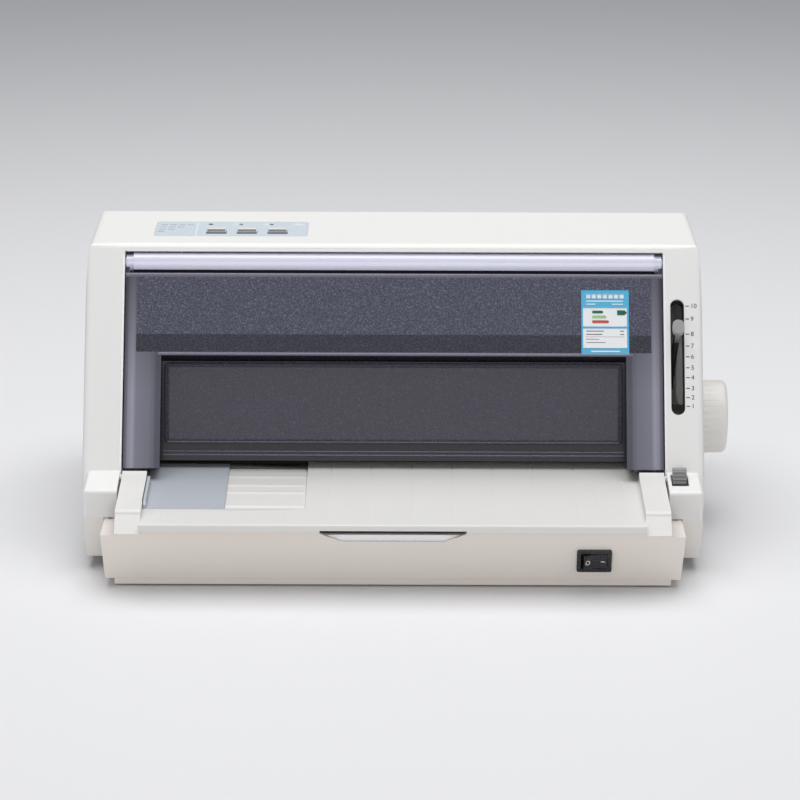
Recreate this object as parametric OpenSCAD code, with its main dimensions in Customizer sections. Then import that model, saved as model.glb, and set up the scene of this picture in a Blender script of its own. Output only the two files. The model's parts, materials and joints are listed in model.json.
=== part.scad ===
// Flatbed dot matrix printer: tinted lift-up front cover, hinged paper table, sliding edge guide,
// platen with a side knob, gear train, carriage on a rod with a toothed belt, and a rear tractor.
// X runs to the viewer's right, Y to the back, Z up. Lengths are millimetres. Places in Y and Z
// are given from the middle of the printer and from the underside of its base plate's datum.

/* [Case] */
// Width over the two side cheeks
case_w = 383; // [382:0.5:400]
// Height of the flat top above the base's datum
case_h = 182; // [176:1:200]
// Distance from the middle of the printer to the front lip of the paper table
front_reach = 150; // [145:1:160]
// Distance from the middle of the printer to its back wall
back_reach = 150; // [146:1:170]
// Wall of the moulded casings
wall = 2.5; // [2:0.1:3]
// Width between the cheeks, where cover and paper table sit
bay_w = 334.5; // [330:0.5:338]
// Height of the cheeks' lower edge
cheek_foot = 6; // [5:0.5:10]
// Rounding of the cheeks' front edges
cheek_r = 4; // [2:0.5:5]

/* [Base] */
// Width of the base at its upper rim
base_w = 351; // [346:1:354]
// Height of the base rim beside the paper table
base_h = 32.5; // [30:0.5:34]
// Height of the base's datum above the table it stands on
stand = 2; // [1.5:0.1:3]
// How far the rubber feet stand below the plinth
foot_out = 1; // [0.8:0.1:1.4]
// Radius of each rubber foot
foot_r = 8; // [6:0.5:10]

/* [Front cover] */
// Thickness of the tinted cover
cover_t = 2.2; // [1.8:0.1:2.6]
// Radius of the hinge barrel
barrel_r = 6; // [5.6:0.1:6.2]
// Radius of the hinge pins
hinge_pin_r = 3; // [2.5:0.1:3.5]
// Width of the recessed window
window_w = 292; // [280:1:294]
// Running gap round moving panels
panel_gap = 0.8; // [0.6:0.1:1]

/* [Paper table] */
// Height of the table's surface at the front lip
table_z = 43; // [42:0.25:44]
// Plate thickness of the paper table
table_t = 2.6; // [2:0.1:3]
// Width of each raised arm
arm_w = 14.75; // [14:0.25:18]
// Height of the arms above the surface
arm_h = 5.5; // [4:0.5:6]
// Width of the edge guide
guide_w = 49; // [40:1:60]
// Spacing of the measuring grooves
groove_pitch = 25; // [20:0.5:26]

/* [Controls] */
// Width of the control overlay
overlay_w = 96.5; // [90:0.5:100]
// Depth of the control overlay
overlay_d = 41.5; // [36:0.5:44]
// Width of a push button
button_w = 12.2; // [10:0.1:13]
// Distance between push buttons
button_pitch = 19.3; // [17:0.1:20]
// Width of the gap lever's slot
slot_w = 8.6; // [8:0.1:9]
// Width of the power switch bezel
switch_w = 21; // [19:0.5:22]
// Height of the power switch bezel
switch_h = 15; // [14:0.5:16]

/* [Platen] */
// Radius of the rubber platen
platen_r = 14; // [12:0.5:14]
// Radius of the platen shaft
platen_shaft_r = 4; // [3:0.5:5]
// Radius of the platen knob
knob_r = 23.5; // [20:0.5:26]
// How far the knob stands out of the case
knob_reach = 22; // [18:0.5:30]
// Radius of the feed rollers
feed_r = 8; // [7:0.25:8]
// Radius of the pinch rollers
pinch_r = 6; // [5:0.25:6]

/* [Gears] */
// Tooth module of the gear train
gear_m = 1; // [0.9:0.05:1]
// Face width of the gears
gear_t = 5; // [4:0.5:6]

/* [Carriage] */
// Radius of the carriage rod
rod_r = 4; // [3:0.25:4.5]
// Radius of the belt pulleys to the belt's middle
pulley_r = 7; // [6:0.5:8]

/* [Hidden] */
$fn = 48;
front_y = -front_reach;
back_y = back_reach;
half_w = case_w / 2;
bay = bay_w / 2;
// Radial clearance of a running shaft, clearance of a seated piece, and how far a cut runs past a face.
run_gap = 0.08;
seat_gap = 0.05;
past = 1;
white = [0.93, 0.93, 0.92];
smoke = [0.36, 0.36, 0.42, 0.85];
grey = [0.52, 0.55, 0.6];
black = [0.12, 0.12, 0.13];
steel = [0.74, 0.75, 0.77];
acetal = [0.93, 0.9, 0.8];
rubber = [0.14, 0.14, 0.15];

// Front face: a plane that leans back, carrying the pillars and the cover. A place on it is given by
// s, the way up the face from its foot, and d, the depth behind it.
lean = 26.57;
face_foot = [-72.5, 55];
function on_face(s, d) = [
    face_foot[0] + s * sin(lean) + d * cos(lean),
    face_foot[1] + s * cos(lean) - d * sin(lean)
];
deck_edge = 4;
face_top = (case_h - deck_edge - face_foot[1]) / cos(lean);
barrel_drop = 5.8;
barrel_at = on_face(face_top - barrel_drop, barrel_r);

// Points along an arc in a plane, from angle a0 to a1.
function arc(c, r, a0, a1, n = 6) = [
    for (i = [0:n]) let(a = a0 + (a1 - a0) * i / n) [c[0] + r * cos(a), c[1] + r * sin(a)]
];

// Extrudes a (y, z) outline along X, from x0 to x1.
module along_x(x0, x1) {
    translate([x0, 0, 0]) rotate([90, 0, 90]) linear_extrude(x1 - x0) children();
}
// A round bar or drill along X at a (y, z) place.
module bar_x(at, r, x0, x1) {
    translate([x0, at[0], at[1]]) rotate([0, 90, 0]) cylinder(r = r, h = x1 - x0);
}
// A box between two corners.
module block(a, b) {
    translate(a) cube([b[0] - a[0], b[1] - a[1], b[2] - a[2]]);
}
// A rounded rectangle centred on the origin.
module round_rect(w, h, r) {
    square([w - 2 * r, h], center = true);
    square([w, h - 2 * r], center = true);
    for (x = [-1, 1], y = [-1, 1]) translate([x * (w / 2 - r), y * (h / 2 - r)]) circle(r);
}
// Half of an outline that opens upwards, with its lower outer corner rounded, mirrored to both sides.
module tub(half, depth, r) {
    polygon(concat(
        [[-half, depth]], arc([-half + r, r], r, 180, 270, 5), arc([half - r, r], r, 270, 360, 5),
            [[half, depth]]
    ));
}
// Copies what follows to both sides.
module both_sides() {
    children();
    mirror([1, 0, 0]) children();
}
// Places the printer with the middle of its outline over the origin, standing on its feet.
module in_frame() {
    translate([-knob_reach / 2, (front_reach - back_reach) / 2, stand]) children();
}

// ---------------------------------------------------------------- upper case
far = 400;
top_back = back_y - 62;
slope_back = [back_y - 10, 120];
rear_top = 110;
round_r = 5;
rim_gap = 0.5;
rim_z = base_h + rim_gap;
round_s = (case_h - round_r + round_r * sin(lean) - face_foot[1]) / cos(lean);
case_front_foot = [[-66, cheek_foot], [-74, 20]];
below_face = -16;
below = 10;
// Side outline of the case, or of its hollow where inset is a wall.
function case_outline(inset) = concat(
    [[case_front_foot[0][0] + inset, cheek_foot - (inset > 0 ? below : 0)]],
    [[case_front_foot[1][0] + inset, case_front_foot[1][1]]],
    [on_face(below_face, inset)],
    arc(on_face(round_s, round_r), round_r - inset, 180 - lean, 90, 5),
    arc([top_back - round_r, case_h - round_r], round_r - inset, 90, 50, 4),
    [[slope_back[0] - inset, slope_back[1]]],
    [[back_y - inset, rear_top], [back_y - inset, cheek_foot - (inset > 0 ? below : 0)]]
);
// Front outline of the case: cheeks that draw in a little at foot and shoulder.
cheek_zs = [50, 140, 161];
foot_draft = 2.5;
shoulder_draft = 1.4;
shoulder_r = 4.5;
module case_front_outline(inset) {
    side = half_w - inset;
    top_c = [half_w - shoulder_draft - shoulder_r, case_h - shoulder_r];
    polygon(concat(
        [[side - foot_draft, -below], [side, cheek_zs[0]], [side, cheek_zs[1]],
            [side - shoulder_draft / 3, cheek_zs[2]]],
        arc(top_c, shoulder_r - inset, 0, 90, 6),
        arc([-top_c[0], top_c[1]], shoulder_r - inset, 90, 180, 6),
        [[-side + shoulder_draft / 3, cheek_zs[2]], [-side, cheek_zs[1]], [-side, cheek_zs[0]],
            [-side + foot_draft, -below]]
    ));
}
module case_front_prism(inset, y0, y1) {
    translate([0, y1, 0]) rotate([90, 0, 0]) linear_extrude(y1 - y0) case_front_outline(inset);
}
// A long prism that leans with the front face and rounds its two outer edges.
module leaning_prism() {
    translate([0, face_foot[0], face_foot[1]]) rotate([-lean, 0, 0]) translate([0, 0, -far / 2])
        linear_extrude(far) tub(half_w + seat_gap, far, cheek_r);
}

// Lobes: the low fronts of both cheeks, beside the paper table.
lobe_front = -104;
lobe_in = bay + 0.6;
lobe_out = half_w - 2.8;
lobe_top = [-73.2, 53.6];
lobe_edge = 50.3;
lobe_r = 2.5;
lobe_side_r = 3;
lobe_foot = [-93, 5];
lobe_inside = -60;
lobe_rise = atan2(lobe_top[1] - lobe_edge, lobe_top[0] - lobe_front);
lobe_draft = 1.1;
// The undercut front of a lobe below the base's rim, at height z.
function undercut(z) = lobe_front + (rim_z - z) * (lobe_foot[0] - lobe_front) / (rim_z - lobe_foot[1]);
function lobe_outline(inset) = let(
        r = max(lobe_r - inset, 0.5), foot = lobe_foot[1] - (inset > 0 ? below : 0), in_y = inset * 1.08
    ) concat(
        [[lobe_inside, lobe_top[1] + 1 - inset], [lobe_top[0], lobe_top[1] - inset]],
        arc([lobe_front + inset + r, lobe_edge - inset - r], r, 97, 180, 5),
        [[lobe_front + inset, rim_z], [undercut(foot) + in_y, foot], [lobe_inside, foot]]
    );
module lobes() {
    intersection() {
        both_sides() along_x(lobe_in, lobe_out) polygon(lobe_outline(0));
        // rounded front corners seen from above
        translate([0, lobe_front, -below]) linear_extrude(case_h) tub(lobe_out, far, lobe_side_r);
        // rounded outer edges of the top
        translate([0, lobe_top[0], lobe_top[1]]) rotate([90 + lobe_rise, 0, 0]) translate([0, 0, -far / 2])
            linear_extrude(far) mirror([0, 1]) tub(lobe_out, far, lobe_side_r);
        // sides that draw in towards the foot
        translate([0, back_y, 0]) rotate([90, 0, 0]) linear_extrude(far) polygon([
            [lobe_draft - lobe_out, lobe_foot[1]], [-lobe_out, rim_z], [-lobe_out, case_h],
            [lobe_out, case_h], [lobe_out, rim_z], [lobe_out - lobe_draft, lobe_foot[1]]
        ]);
    }
}
// Tongues that hang from the lobes and close the gap beside the base's front wall.
tongue_drop = 18;
module lobe_tongues() {
    low = rim_z - tongue_drop;
    both_sides() along_x(lobe_in, base_w / 2 - wall - 2) polygon([
        [lobe_front, rim_z + wall - 0.1], [lobe_front, rim_z], [undercut(low), low],
        [undercut(low) + wall, low], [lobe_front + wall + 0.1, rim_z],
            [lobe_front + wall + 0.1, rim_z + wall - 0.1]
    ]);
}

// Gap lever slot: a straight slot in the right pillar.
slot_x = bay + 8.5;
slot_mid = 71;
slot_half = 36.5;
// Cuts a slot along the front face at x, from s0 to s1, down to a depth.
module face_slot(x, w, s0, s1, d0, d1) {
    a = on_face(s0, d0);
    translate([x, a[0], a[1]]) rotate([90 - lean, 0, 0]) translate([0, 0, -(d1 - d0)])
        linear_extrude(d1 - d0) {
        translate([0, w / 2]) circle(w / 2);
        translate([0, s1 - s0 - w / 2]) circle(w / 2);
        translate([-w / 2, w / 2]) square([w, s1 - s0 - w]);
    }
}

overlay_x = -(bay - 16.25 - overlay_w / 2);
overlay_y = 32.5;
overlay_t = 0.8;
overlay_r = 2.5;
button_x0 = overlay_x - 9.3;
button_y = 24;
button_d = 9;
button_gap = 0.35;
button_r = 1;
function button_x(i) = button_x0 + i * button_pitch;
led_y = 46;
led_dx = -4.6;
led_r = 1.4;
led_gap = 0.1;
board_drop = 9;
board_post_x = overlay_w / 2 - 10;
board_post_y = 12;
board_post_r = 1.5;
deck_cut = 6;

release_w = 8.5;
release_x = bay + 8;
release_tip = [-80, 58.9];
release_hole_y = [-94, -76.5];
release_pivot = [-66, rim_z + 5.6];
release_pin_r = 2;

rear_mouth_z = [62, 106];
rear_mouth_w = 300;
slope_angle = atan2(case_h - slope_back[1], slope_back[0] - top_back);
// Places a child on the rear slope, with its origin at the slope's upper edge and +Y down the slope.
module on_slope() {
    translate([0, top_back, case_h]) rotate([-slope_angle, 0, 0]) children();
}
slope_len = norm([slope_back[0] - top_back, case_h - slope_back[1]]);
hatch_w = 280;
hatch_from = 12;
hatch_to = slope_len - 9;
hatch_pin_r = 1.5;
hatch_pin_y = 3.3;
hatch_pin_d = 2.8;
hatch_pin_len = 5;
hatch_gap = 0.8;

knob_at = [25, 62];
knob_hole_r = 9;
screw_r = 1.6;
boss_r = 4;
boss_h = 18;
boss_x = bay - boss_r + 0.2;
case_screw_at = [for (x = [-1, 1], y = [back_y - 22, -34]) [x * boss_x, y]];
vent_count = 9;
vent_pitch = 8;
vent_w = 3;
vent_y = 60;
vent_z = [48, 96];

// Outer skin of the case with its lobes.
module case_skin() {
    intersection() {
        along_x(-half_w, half_w) polygon(case_outline(0));
        case_front_prism(0, front_y, back_y + past);
        leaning_prism();
    }
    lobes();
}
// The bay between the cheeks, the hollow cheeks and lobes, and the room for the base.
module case_hollow() {
    along_x(-bay, bay) polygon([
        [front_y - 20, -below], [front_y - 20, case_h - wall], [top_back - 1, case_h - wall],
        [slope_back[0] - wall, slope_back[1]], [back_y - wall, rear_top], [back_y - wall, rim_z],
        [back_y + 5, rim_z], [back_y + 5, -below]
    ]);
    intersection() {
        both_sides() along_x(bay + wall, half_w - wall) polygon(case_outline(wall));
        case_front_prism(wall, front_y, back_y + past);
    }
    both_sides() along_x(lobe_in + wall, lobe_out - wall) polygon(lobe_outline(wall));
    block([-base_w / 2 - 0.6, front_y - past, -below], [base_w / 2 + 0.6, back_y + past, rim_z]);
}
// Openings and bores through the case's skin.
module case_openings() {
    for (p = case_screw_at) translate([p[0], p[1], rim_z - past]) cylinder(r = screw_r, h = boss_h - 4);
    face_slot(slot_x, slot_w, slot_mid - slot_half, slot_mid + slot_half, -2, 6);
    block([release_x - release_w / 2 - 1, release_hole_y[0], lobe_edge - 10],
        [release_x + release_w / 2 + 1, release_hole_y[1], lobe_top[1] + 5]);
    both_sides() bar_x(barrel_at, hinge_pin_r + run_gap, bay - past, bay + wall + 3);
    both_sides() bar_x(table_pivot, pivot_r + run_gap, bay - past, bay + wall + 3);
    bar_x(knob_at, knob_hole_r, bay - past, half_w + past);
    bar_x(lever_pivot, lever_shaft_r + run_gap, bay - past, bay + wall + 1);
    bar_x(release_pivot, release_pin_r + run_gap, bay - past, bay + wall + 3);
    // recess for the overlay and openings for buttons and lamps
    translate([overlay_x, overlay_y, case_h - overlay_t]) linear_extrude(deck_cut)
        round_rect(overlay_w, overlay_d, overlay_r);
    control_holes();
    // rear mouth for tractor paper, the hatch on the rear slope and its hinge bores
    block([-rear_mouth_w / 2, back_y - 5, rear_mouth_z[0]],
        [rear_mouth_w / 2, back_y + 5, rear_mouth_z[1]]);
    on_slope() {
        block([-hatch_w / 2, hatch_from, -8], [hatch_w / 2, hatch_to, 4]);
        for (x = [-1, 1]) translate([x * (hatch_w / 2), hatch_from + hatch_pin_y, -hatch_pin_d])
            rotate([0, 90, 0])
            cylinder(r = hatch_pin_r + run_gap, h = 2 * hatch_pin_len + 2, center = true);
    }
    // cooling slots in both cheeks
    for (i = [0:vent_count - 1]) both_sides()
        block([half_w - 8, vent_y + i * vent_pitch, vent_z[0]],
            [half_w + past, vent_y + i * vent_pitch + vent_w, vent_z[1]]);
}
// Holes for the push buttons and lamps.
module control_holes() {
    for (i = [0:2]) {
        translate([button_x(i), button_y, case_h - deck_cut]) linear_extrude(deck_cut + 2)
            round_rect(button_w + 2 * button_gap, button_d + 2 * button_gap, button_r);
        translate([button_x(i) + led_dx, led_y, case_h - deck_cut])
            cylinder(r = led_r + led_gap, h = deck_cut + 2);
    }
}
edge_drop = 0.3;
edge_t = 1.8;
module upper_case() {
    color(white) difference() {
        case_skin();
        case_hollow();
        case_openings();
    }
    color(white) {
        lobe_tongues();
        // lip under the front edge of the top, over the barrel
        along_x(-bay - past, bay + past) polygon([
            on_face(face_top - edge_drop, 0), on_face(round_s, 0), on_face(round_s + edge_t, 0.9),
            on_face(round_s + edge_t, edge_t), on_face(face_top - edge_drop, edge_t)
        ]);
        // bosses that take the case screws from below
        for (p = case_screw_at) difference() {
            translate([p[0], p[1], rim_z]) cylinder(r = boss_r, h = boss_h);
            translate([p[0], p[1], rim_z - past]) cylinder(r = screw_r, h = boss_h - 4);
        }
        // posts that carry the control board
        for (x = [-1, 1]) translate([overlay_x + x * board_post_x, overlay_y + board_post_y,
            case_h - board_drop - 2])
            cylinder(r = board_post_r, h = board_drop + 2 - overlay_t - 0.4);
    }
}

// ---------------------------------------------------------------- base
floor_z = 3;
base_slope_top = [front_y + 12, base_h];
base_slope_bottom = [front_y + 20, floor_z];
panel_tilt = atan2(base_slope_bottom[0] - base_slope_top[0], base_h - floor_z);
tongue_z = table_z - table_t - 3;
tongue_w = bay_w - 4;
base_draft = 1.8;
base_open = 20;
switch_x = 121;
switch_z = 16.5;
function panel_y(z) = base_slope_top[0] + (base_h - z) * tan(panel_tilt);
scoop_w = 88;
scoop_low_w = 62;
scoop_z = 28.8;
scoop_d = 6.2;
plinth_w = base_w - 15;
plinth_y = [front_y + 21, back_y - 4];
plinth_low = foot_out - stand;
feet_at = [for (x = [-1, 1], y = [-1, 1]) [x * (base_w / 2 - 24), y * (back_reach - 32)]];
socket_gap = 0.2;
inlet_x = 120;
inlet_box = [[-14, 7], [14, 28]];
parallel_x = -60;
parallel_box = [[-30, 9], [30, 23]];
usb_x = 0;
usb_box = [[-6.5, 9], [6.5, 21]];
floor_vents = 12;
floor_vent_pitch = 7;
floor_vent_w = 3;
floor_vent_y = [-10, 40];
board_z = 9;
board = [[-142, -16], [40, 118]];
board_posts = [for (x = [board[0][0] + 6, board[1][0] - 6], y = [board[0][1] + 6, board[1][1] - 6]) [x, y]];

module base_solid(inset) {
    lift = inset > 0 ? base_open : 0;
    intersection() {
        along_x(-base_w / 2, base_w / 2) polygon([
            [base_slope_bottom[0] + inset, floor_z + inset], [base_slope_top[0] + inset, base_h + lift],
            [back_y - inset, base_h + lift], [back_y - inset, floor_z + inset]
        ]);
        translate([0, back_y + past, 0]) rotate([90, 0, 0]) linear_extrude(back_y - front_y + 2) polygon([
            [-base_w / 2 + base_draft + inset, floor_z], [-base_w / 2 + inset, base_h],
                [-base_w / 2 + inset, base_h + base_open],
            [base_w / 2 - inset, base_h + base_open], [base_w / 2 - inset, base_h],
                [base_w / 2 - base_draft - inset, floor_z]
        ]);
    }
}
// Places a child on the base's front panel at x and z, facing out.
module on_panel(x, z) {
    translate([x, panel_y(z), z]) rotate([90 + panel_tilt, 0, 0]) children();
}
// A hole through the back wall for a socket, given by its (x, z) corners from the socket's middle.
module rear_hole(x, box) {
    block([x + box[0][0], back_y - 6, box[0][1]], [x + box[1][0], back_y + past, box[1][1]]);
}
// Finger scoop under the table's lip, cut from the front.
module scoop() {
    corner = [3, 1.2];
    translate([0, base_slope_top[0] - 4, 0]) rotate([-90, 0, 0]) linear_extrude(scoop_d) polygon([
        [-scoop_w / 2, -tongue_z - 1], [scoop_w / 2, -tongue_z - 1], [scoop_w / 2, -tongue_z + 3],
        [scoop_low_w / 2 + corner[0], -scoop_z - corner[1]], [scoop_low_w / 2, -scoop_z],
        [-scoop_low_w / 2, -scoop_z], [-scoop_low_w / 2 - corner[0], -scoop_z - corner[1]],
            [-scoop_w / 2, -tongue_z + 3]
    ]);
}
corner_gap = 0.75;
module lower_case() {
    // closed corners of the rim, beside the table's arms
    color([0.86, 0.85, 0.83]) both_sides() block(
        [arm_half + corner_gap, base_slope_top[0] + wall - 0.5, base_h - wall],
        [base_w / 2 - wall + 0.5, lobe_front - corner_gap, base_h]
    );
    color([0.86, 0.85, 0.83]) difference() {
        union() {
            base_solid(0);
            block([-plinth_w / 2, plinth_y[0], plinth_low], [plinth_w / 2, plinth_y[1], floor_z + 1]);
            // tongue behind the table's lip
            along_x(-tongue_w / 2, tongue_w / 2) polygon([
                [base_slope_top[0] - 0.6, base_h - 1], [base_slope_top[0] - 1.8, tongue_z],
                [base_slope_top[0] + wall - 1.5, tongue_z], [base_slope_top[0] + wall, base_h - 1]
            ]);
        }
        difference() {
            base_solid(wall);
            // posts for the case screws and the main board stay
            for (p = case_screw_at) translate([p[0], p[1], 0]) cylinder(r = boss_r + 1, h = rim_z);
            for (p = board_posts) translate([p[0], p[1], 0]) cylinder(r = 3, h = board_z);
        }
        scoop();
        // cut-out for the power switch
        on_panel(switch_x, switch_z) translate([0, 0, -8]) linear_extrude(12)
            square([switch_w - 2, switch_h - 2], center = true);
        // recesses for the rubber feet, screw holes and board screw holes
        for (p = feet_at) translate([p[0], p[1], plinth_low - past])
            cylinder(r = foot_r + 0.2, h = 2 + past);
        for (p = case_screw_at) translate([p[0], p[1], plinth_low - past]) {
            cylinder(r = screw_r + 0.3, h = 60);
            cylinder(r = screw_head_r + 0.2, h = screw_head_z - plinth_low + past + 2);
        }
        for (p = board_posts) translate([p[0], p[1], floor_z + 2]) cylinder(r = 1.2, h = 20);
        rear_hole(inlet_x, inlet_box);
        rear_hole(parallel_x, parallel_box);
        rear_hole(usb_x, usb_box);
        for (i = [0:floor_vents - 1]) let(x = 40 + i * floor_vent_pitch)
            block([x, floor_vent_y[0], plinth_low - past],
                [x + floor_vent_w, floor_vent_y[1], floor_z + wall + 1]);
    }
}
screw_head_r = 3.2;
screw_head_z = 5.9;
module case_screws() {
    color(steel) for (p = case_screw_at) translate([p[0], p[1], screw_head_z]) {
        cylinder(r = screw_head_r, h = 2);
        translate([0, 0, 1.9]) cylinder(r = screw_r - 0.1, h = base_h + 4);
    }
}
module rubber_feet() {
    foot_edge = 0.6;
    color(rubber) for (p = feet_at) translate([p[0], p[1], -stand]) {
        cylinder(r1 = foot_r - foot_edge, r2 = foot_r, h = foot_edge);
        translate([0, 0, foot_edge]) cylinder(r = foot_r, h = foot_out + 2 - foot_edge);
    }
}

// ---------------------------------------------------------------- front cover
cover_half = bay - panel_gap;
win_half = window_w / 2;
ledge_s = slot_mid;
panel_s = face_top - 14.2;
rec_top = on_face(ledge_s - 2, 8);
rec_foot = [-50, 53.5];
rec_tilt = atan2(rec_foot[0] - rec_top[0], rec_top[1] - rec_foot[1]);
flange_d = 8;
boss_len = 4.5;
barrel_boss_r = barrel_r - 1.3;
step_d = 2.2;
lip_r = 1.2;
comb_pitch = 11.7;
comb_ts = [0.9055, 0.9428];
comb_r = 0.45;
bead_h = 0.9;
bead_t = 0.014;
bead_w = 1.6;
comb_half = 11;
// A sloping wall of the cover in (y, z), from s0 to s1 along the face and from depth d0 to d1.
module face_band(x0, x1, s0, s1, d0, d1) {
    along_x(x0, x1) polygon([on_face(s0, d0), on_face(s1, d0), on_face(s1, d1), on_face(s0, d1)]);
}
// The recessed lower panel, at a depth from its outer skin.
function rec_point(t, d) = [
    rec_top[0] + (rec_foot[0] - rec_top[0]) * t + d * cos(rec_tilt),
    rec_top[1] + (rec_foot[1] - rec_top[1]) * t + d * sin(rec_tilt)
];
// A strip of the recessed panel between two places down it and two depths.
module recess_band(x0, x1, t0, t1, d0, d1) {
    along_x(x0, x1) polygon([rec_point(t0, d0), rec_point(t1, d0), rec_point(t1, d1), rec_point(t0, d1)]);
}
ledge_t = -0.03;
module front_cover() {
    color(smoke) difference() {
        union() {
            face_band(-cover_half, cover_half, ledge_s, panel_s, 0, cover_t);
            both_sides() face_band(win_half, cover_half, 0, ledge_s + 1, 0, cover_t);
            // rolled step that carries the barrel, and the rounded lip under it
            face_band(-cover_half + boss_len, cover_half - boss_len, panel_s - 2,
                face_top - barrel_drop - 2,
                step_d, step_d + cover_t);
            bar_x(barrel_at, barrel_r, -cover_half + boss_len, cover_half - boss_len);
            bar_x(barrel_at, barrel_boss_r, -cover_half, cover_half);
            bar_x(on_face(panel_s - lip_r, lip_r - 0.5), lip_r, -cover_half, cover_half);
            // side flanges, leg soles and the walls of the window
            both_sides() face_band(cover_half - cover_t, cover_half, 0, panel_s + 4, 1, flange_d);
            both_sides() face_band(win_half, cover_half, 0, cover_t, 1, flange_d);
            both_sides() along_x(win_half - cover_t, win_half) polygon([
                on_face(0, 0), on_face(ledge_s, 0), rec_point(0, 0), rec_point(0, cover_t),
                rec_point(1, cover_t), rec_point(1, 0)
            ]);
            // ledge over the recess, with its rounded edge
            along_x(-win_half, win_half) polygon([
                on_face(ledge_s, 0), on_face(ledge_s + 2.6, 0), on_face(ledge_s + 2.6, cover_t),
                rec_point(ledge_t, cover_t), rec_point(0, 0)
            ]);
            bar_x(on_face(ledge_s + 1, 0.6), 0.9, -win_half, win_half);
            recess_band(-win_half, win_half, ledge_t, 1, 0, cover_t);
            // double rail at the foot of the recessed panel, with its beads
            for (t = comb_ts) {
                bar_x(rec_point(t, 0), comb_r, -win_half + 3, win_half - 3);
                for (i = [-comb_half:comb_half]) if (abs(i) > 1)
                    along_x(i * comb_pitch - bead_w / 2, i * comb_pitch + bead_w / 2)
                        polygon([rec_point(t - bead_t, 0.2), rec_point(t, -bead_h),
                            rec_point(t + bead_t, 0.2)]);
            }
        }
        bar_x(barrel_at, hinge_pin_r - 1, -cover_half + 18, cover_half - 18);
    }
    // pivot pins at the barrel's ends
    color(smoke) both_sides() bar_x(barrel_at, hinge_pin_r, cover_half - 6, bay + wall - 0.1);
}
foam_t = 3;
module cover_pads() {
    color([0.45, 0.45, 0.5]) face_band(-cover_half + 6.5, cover_half - 6.5, ledge_s + 13.7, panel_s - 2.6,
        cover_t + seat_gap, cover_t + foam_t);
    color([0.3, 0.3, 0.34]) recess_band(-win_half + 8, win_half - 8, 0.07, 0.8, cover_t + seat_gap,
        cover_t + foam_t);
}

// ---------------------------------------------------------------- paper table
table_tilt = 3;
table_back = -36;
table_pivot = [-77.5, 50];
pivot_r = 2.5;
hub_r = 4.5;
arm_half = bay - 1;
table_half = arm_half - arm_w;
lip_drop = 4.5;
arm_lip = 6;
function table_top(y) = table_z + (y - front_y) * tan(table_tilt);
track = [-table_half + 0.2, -53];
track_y = [front_y + 27.5, -38];
track_d = 1.7;
rib_ys = [-48, -61, -76, -89, -113];
groove_x0 = 11.5;
groove_w = 0.7;
groove_d = 0.3;
groove_y = [front_y + 8, table_back - 6];
stiffener_w = 1.8;
frame_mark = [18, 42];
frame_mark_at = [132, -92];
// A groove in the table's surface at x, from y0 to y1.
module table_groove(x, y0, y1) {
    along_x(x - groove_w / 2, x + groove_w / 2) polygon([
        [y0, table_top(y0) - groove_d], [y1, table_top(y1) - groove_d], [y1, table_z + 12],
            [y0, table_z + 12]
    ]);
}
// Plate with a turned-down lip, ending behind the cover's recessed panel.
module table_plate() {
    lip_r = 1.2;
    along_x(-table_half, table_half) polygon(concat(
        arc([front_y + lip_r, table_z - lip_r], lip_r, 180, 93, 4),
        [[table_back, table_top(table_back)], [table_back, table_top(table_back) - table_t]],
        [[front_y + table_t, table_z - table_t], [front_y + table_t, table_z - lip_drop],
            [front_y, table_z - lip_drop]]
    ));
}
// Raised arms with a rounded front, and hubs round the pivots.
module table_arms() {
    both_sides() along_x(table_half - 0.5, arm_half) polygon(concat(
        [[front_y, table_z - arm_lip]],
        arc([front_y + 13, table_z + arm_h - 3.4], 3.6, 160, 95, 5),
        [[table_pivot[0] - 3, table_top(table_pivot[0]) + arm_h]],
        arc(table_pivot, hub_r, 70, 0, 4),
        arc(table_pivot, hub_r, 0, -90, 4),
        [[front_y + table_t + 1, table_z - table_t], [front_y + table_t, table_z - arm_lip]]
    ));
    both_sides() bar_x(table_pivot, pivot_r, arm_half - 1, bay + wall - 0.1);
}
module table_ribs() {
    for (i = [-2:2]) let(x = i * table_half * 0.43) along_x(x - stiffener_w / 2, x + stiffener_w / 2)
        polygon([
        [front_y + 16, table_top(front_y + 16) - table_t + 0.1],
        [table_back - 6, table_top(table_back - 6) - table_t + 0.1],
        [table_back - 14, table_top(table_back) - 9], [front_y + 30, table_z - 7.5]
    ]);
}
module paper_table() {
    color(white) difference() {
        union() {
            table_plate();
            table_arms();
            table_ribs();
        }
        // track for the edge guide
        along_x(track[0], track[1]) polygon([
            [track_y[0], table_top(track_y[0]) - track_d],
                [track_y[1] + 5, table_top(track_y[1] + 5) - track_d],
            [track_y[1] + 5, table_z + 20], [track_y[0], table_z + 20]
        ]);
        // measuring grooves, short ones in front of the track
        for (i = [-5:4]) let(x = groove_x0 + i * groove_pitch) if (x > track[1] + 2)
            table_groove(x, groove_y[0], groove_y[1]);
        for (i = [-6:-3]) let(x = groove_x0 + i * groove_pitch) if (x < track[1])
            table_groove(x, groove_y[0], track_y[0] - 4);
        // finger notch in the lip
        block([-scoop_w / 2, front_y - past, table_z - arm_lip],
            [scoop_w / 2, front_y + table_t + 0.5, table_z - lip_drop + 0.9]);
        // bare frame at the right, where paper sizes are shown on such tables
        translate([frame_mark_at[0], frame_mark_at[1], table_top(frame_mark_at[1]) - groove_d])
            rotate([table_tilt, 0, 0])
            linear_extrude(2) difference() {
                square(frame_mark, center = true);
                square([frame_mark[0] - 1, frame_mark[1] - 1], center = true);
            }
    }
    // rails of the track
    color(white) for (y = rib_ys) along_x(track[0] + 1, track[1] - 1) polygon([
        [y - 1.2, table_top(y) - track_d - 0.1], [y - 0.7, table_top(y) - track_d + 0.6],
        [y + 0.7, table_top(y) - track_d + 0.6], [y + 1.2, table_top(y) - track_d - 0.1]
    ]);
}

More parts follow.
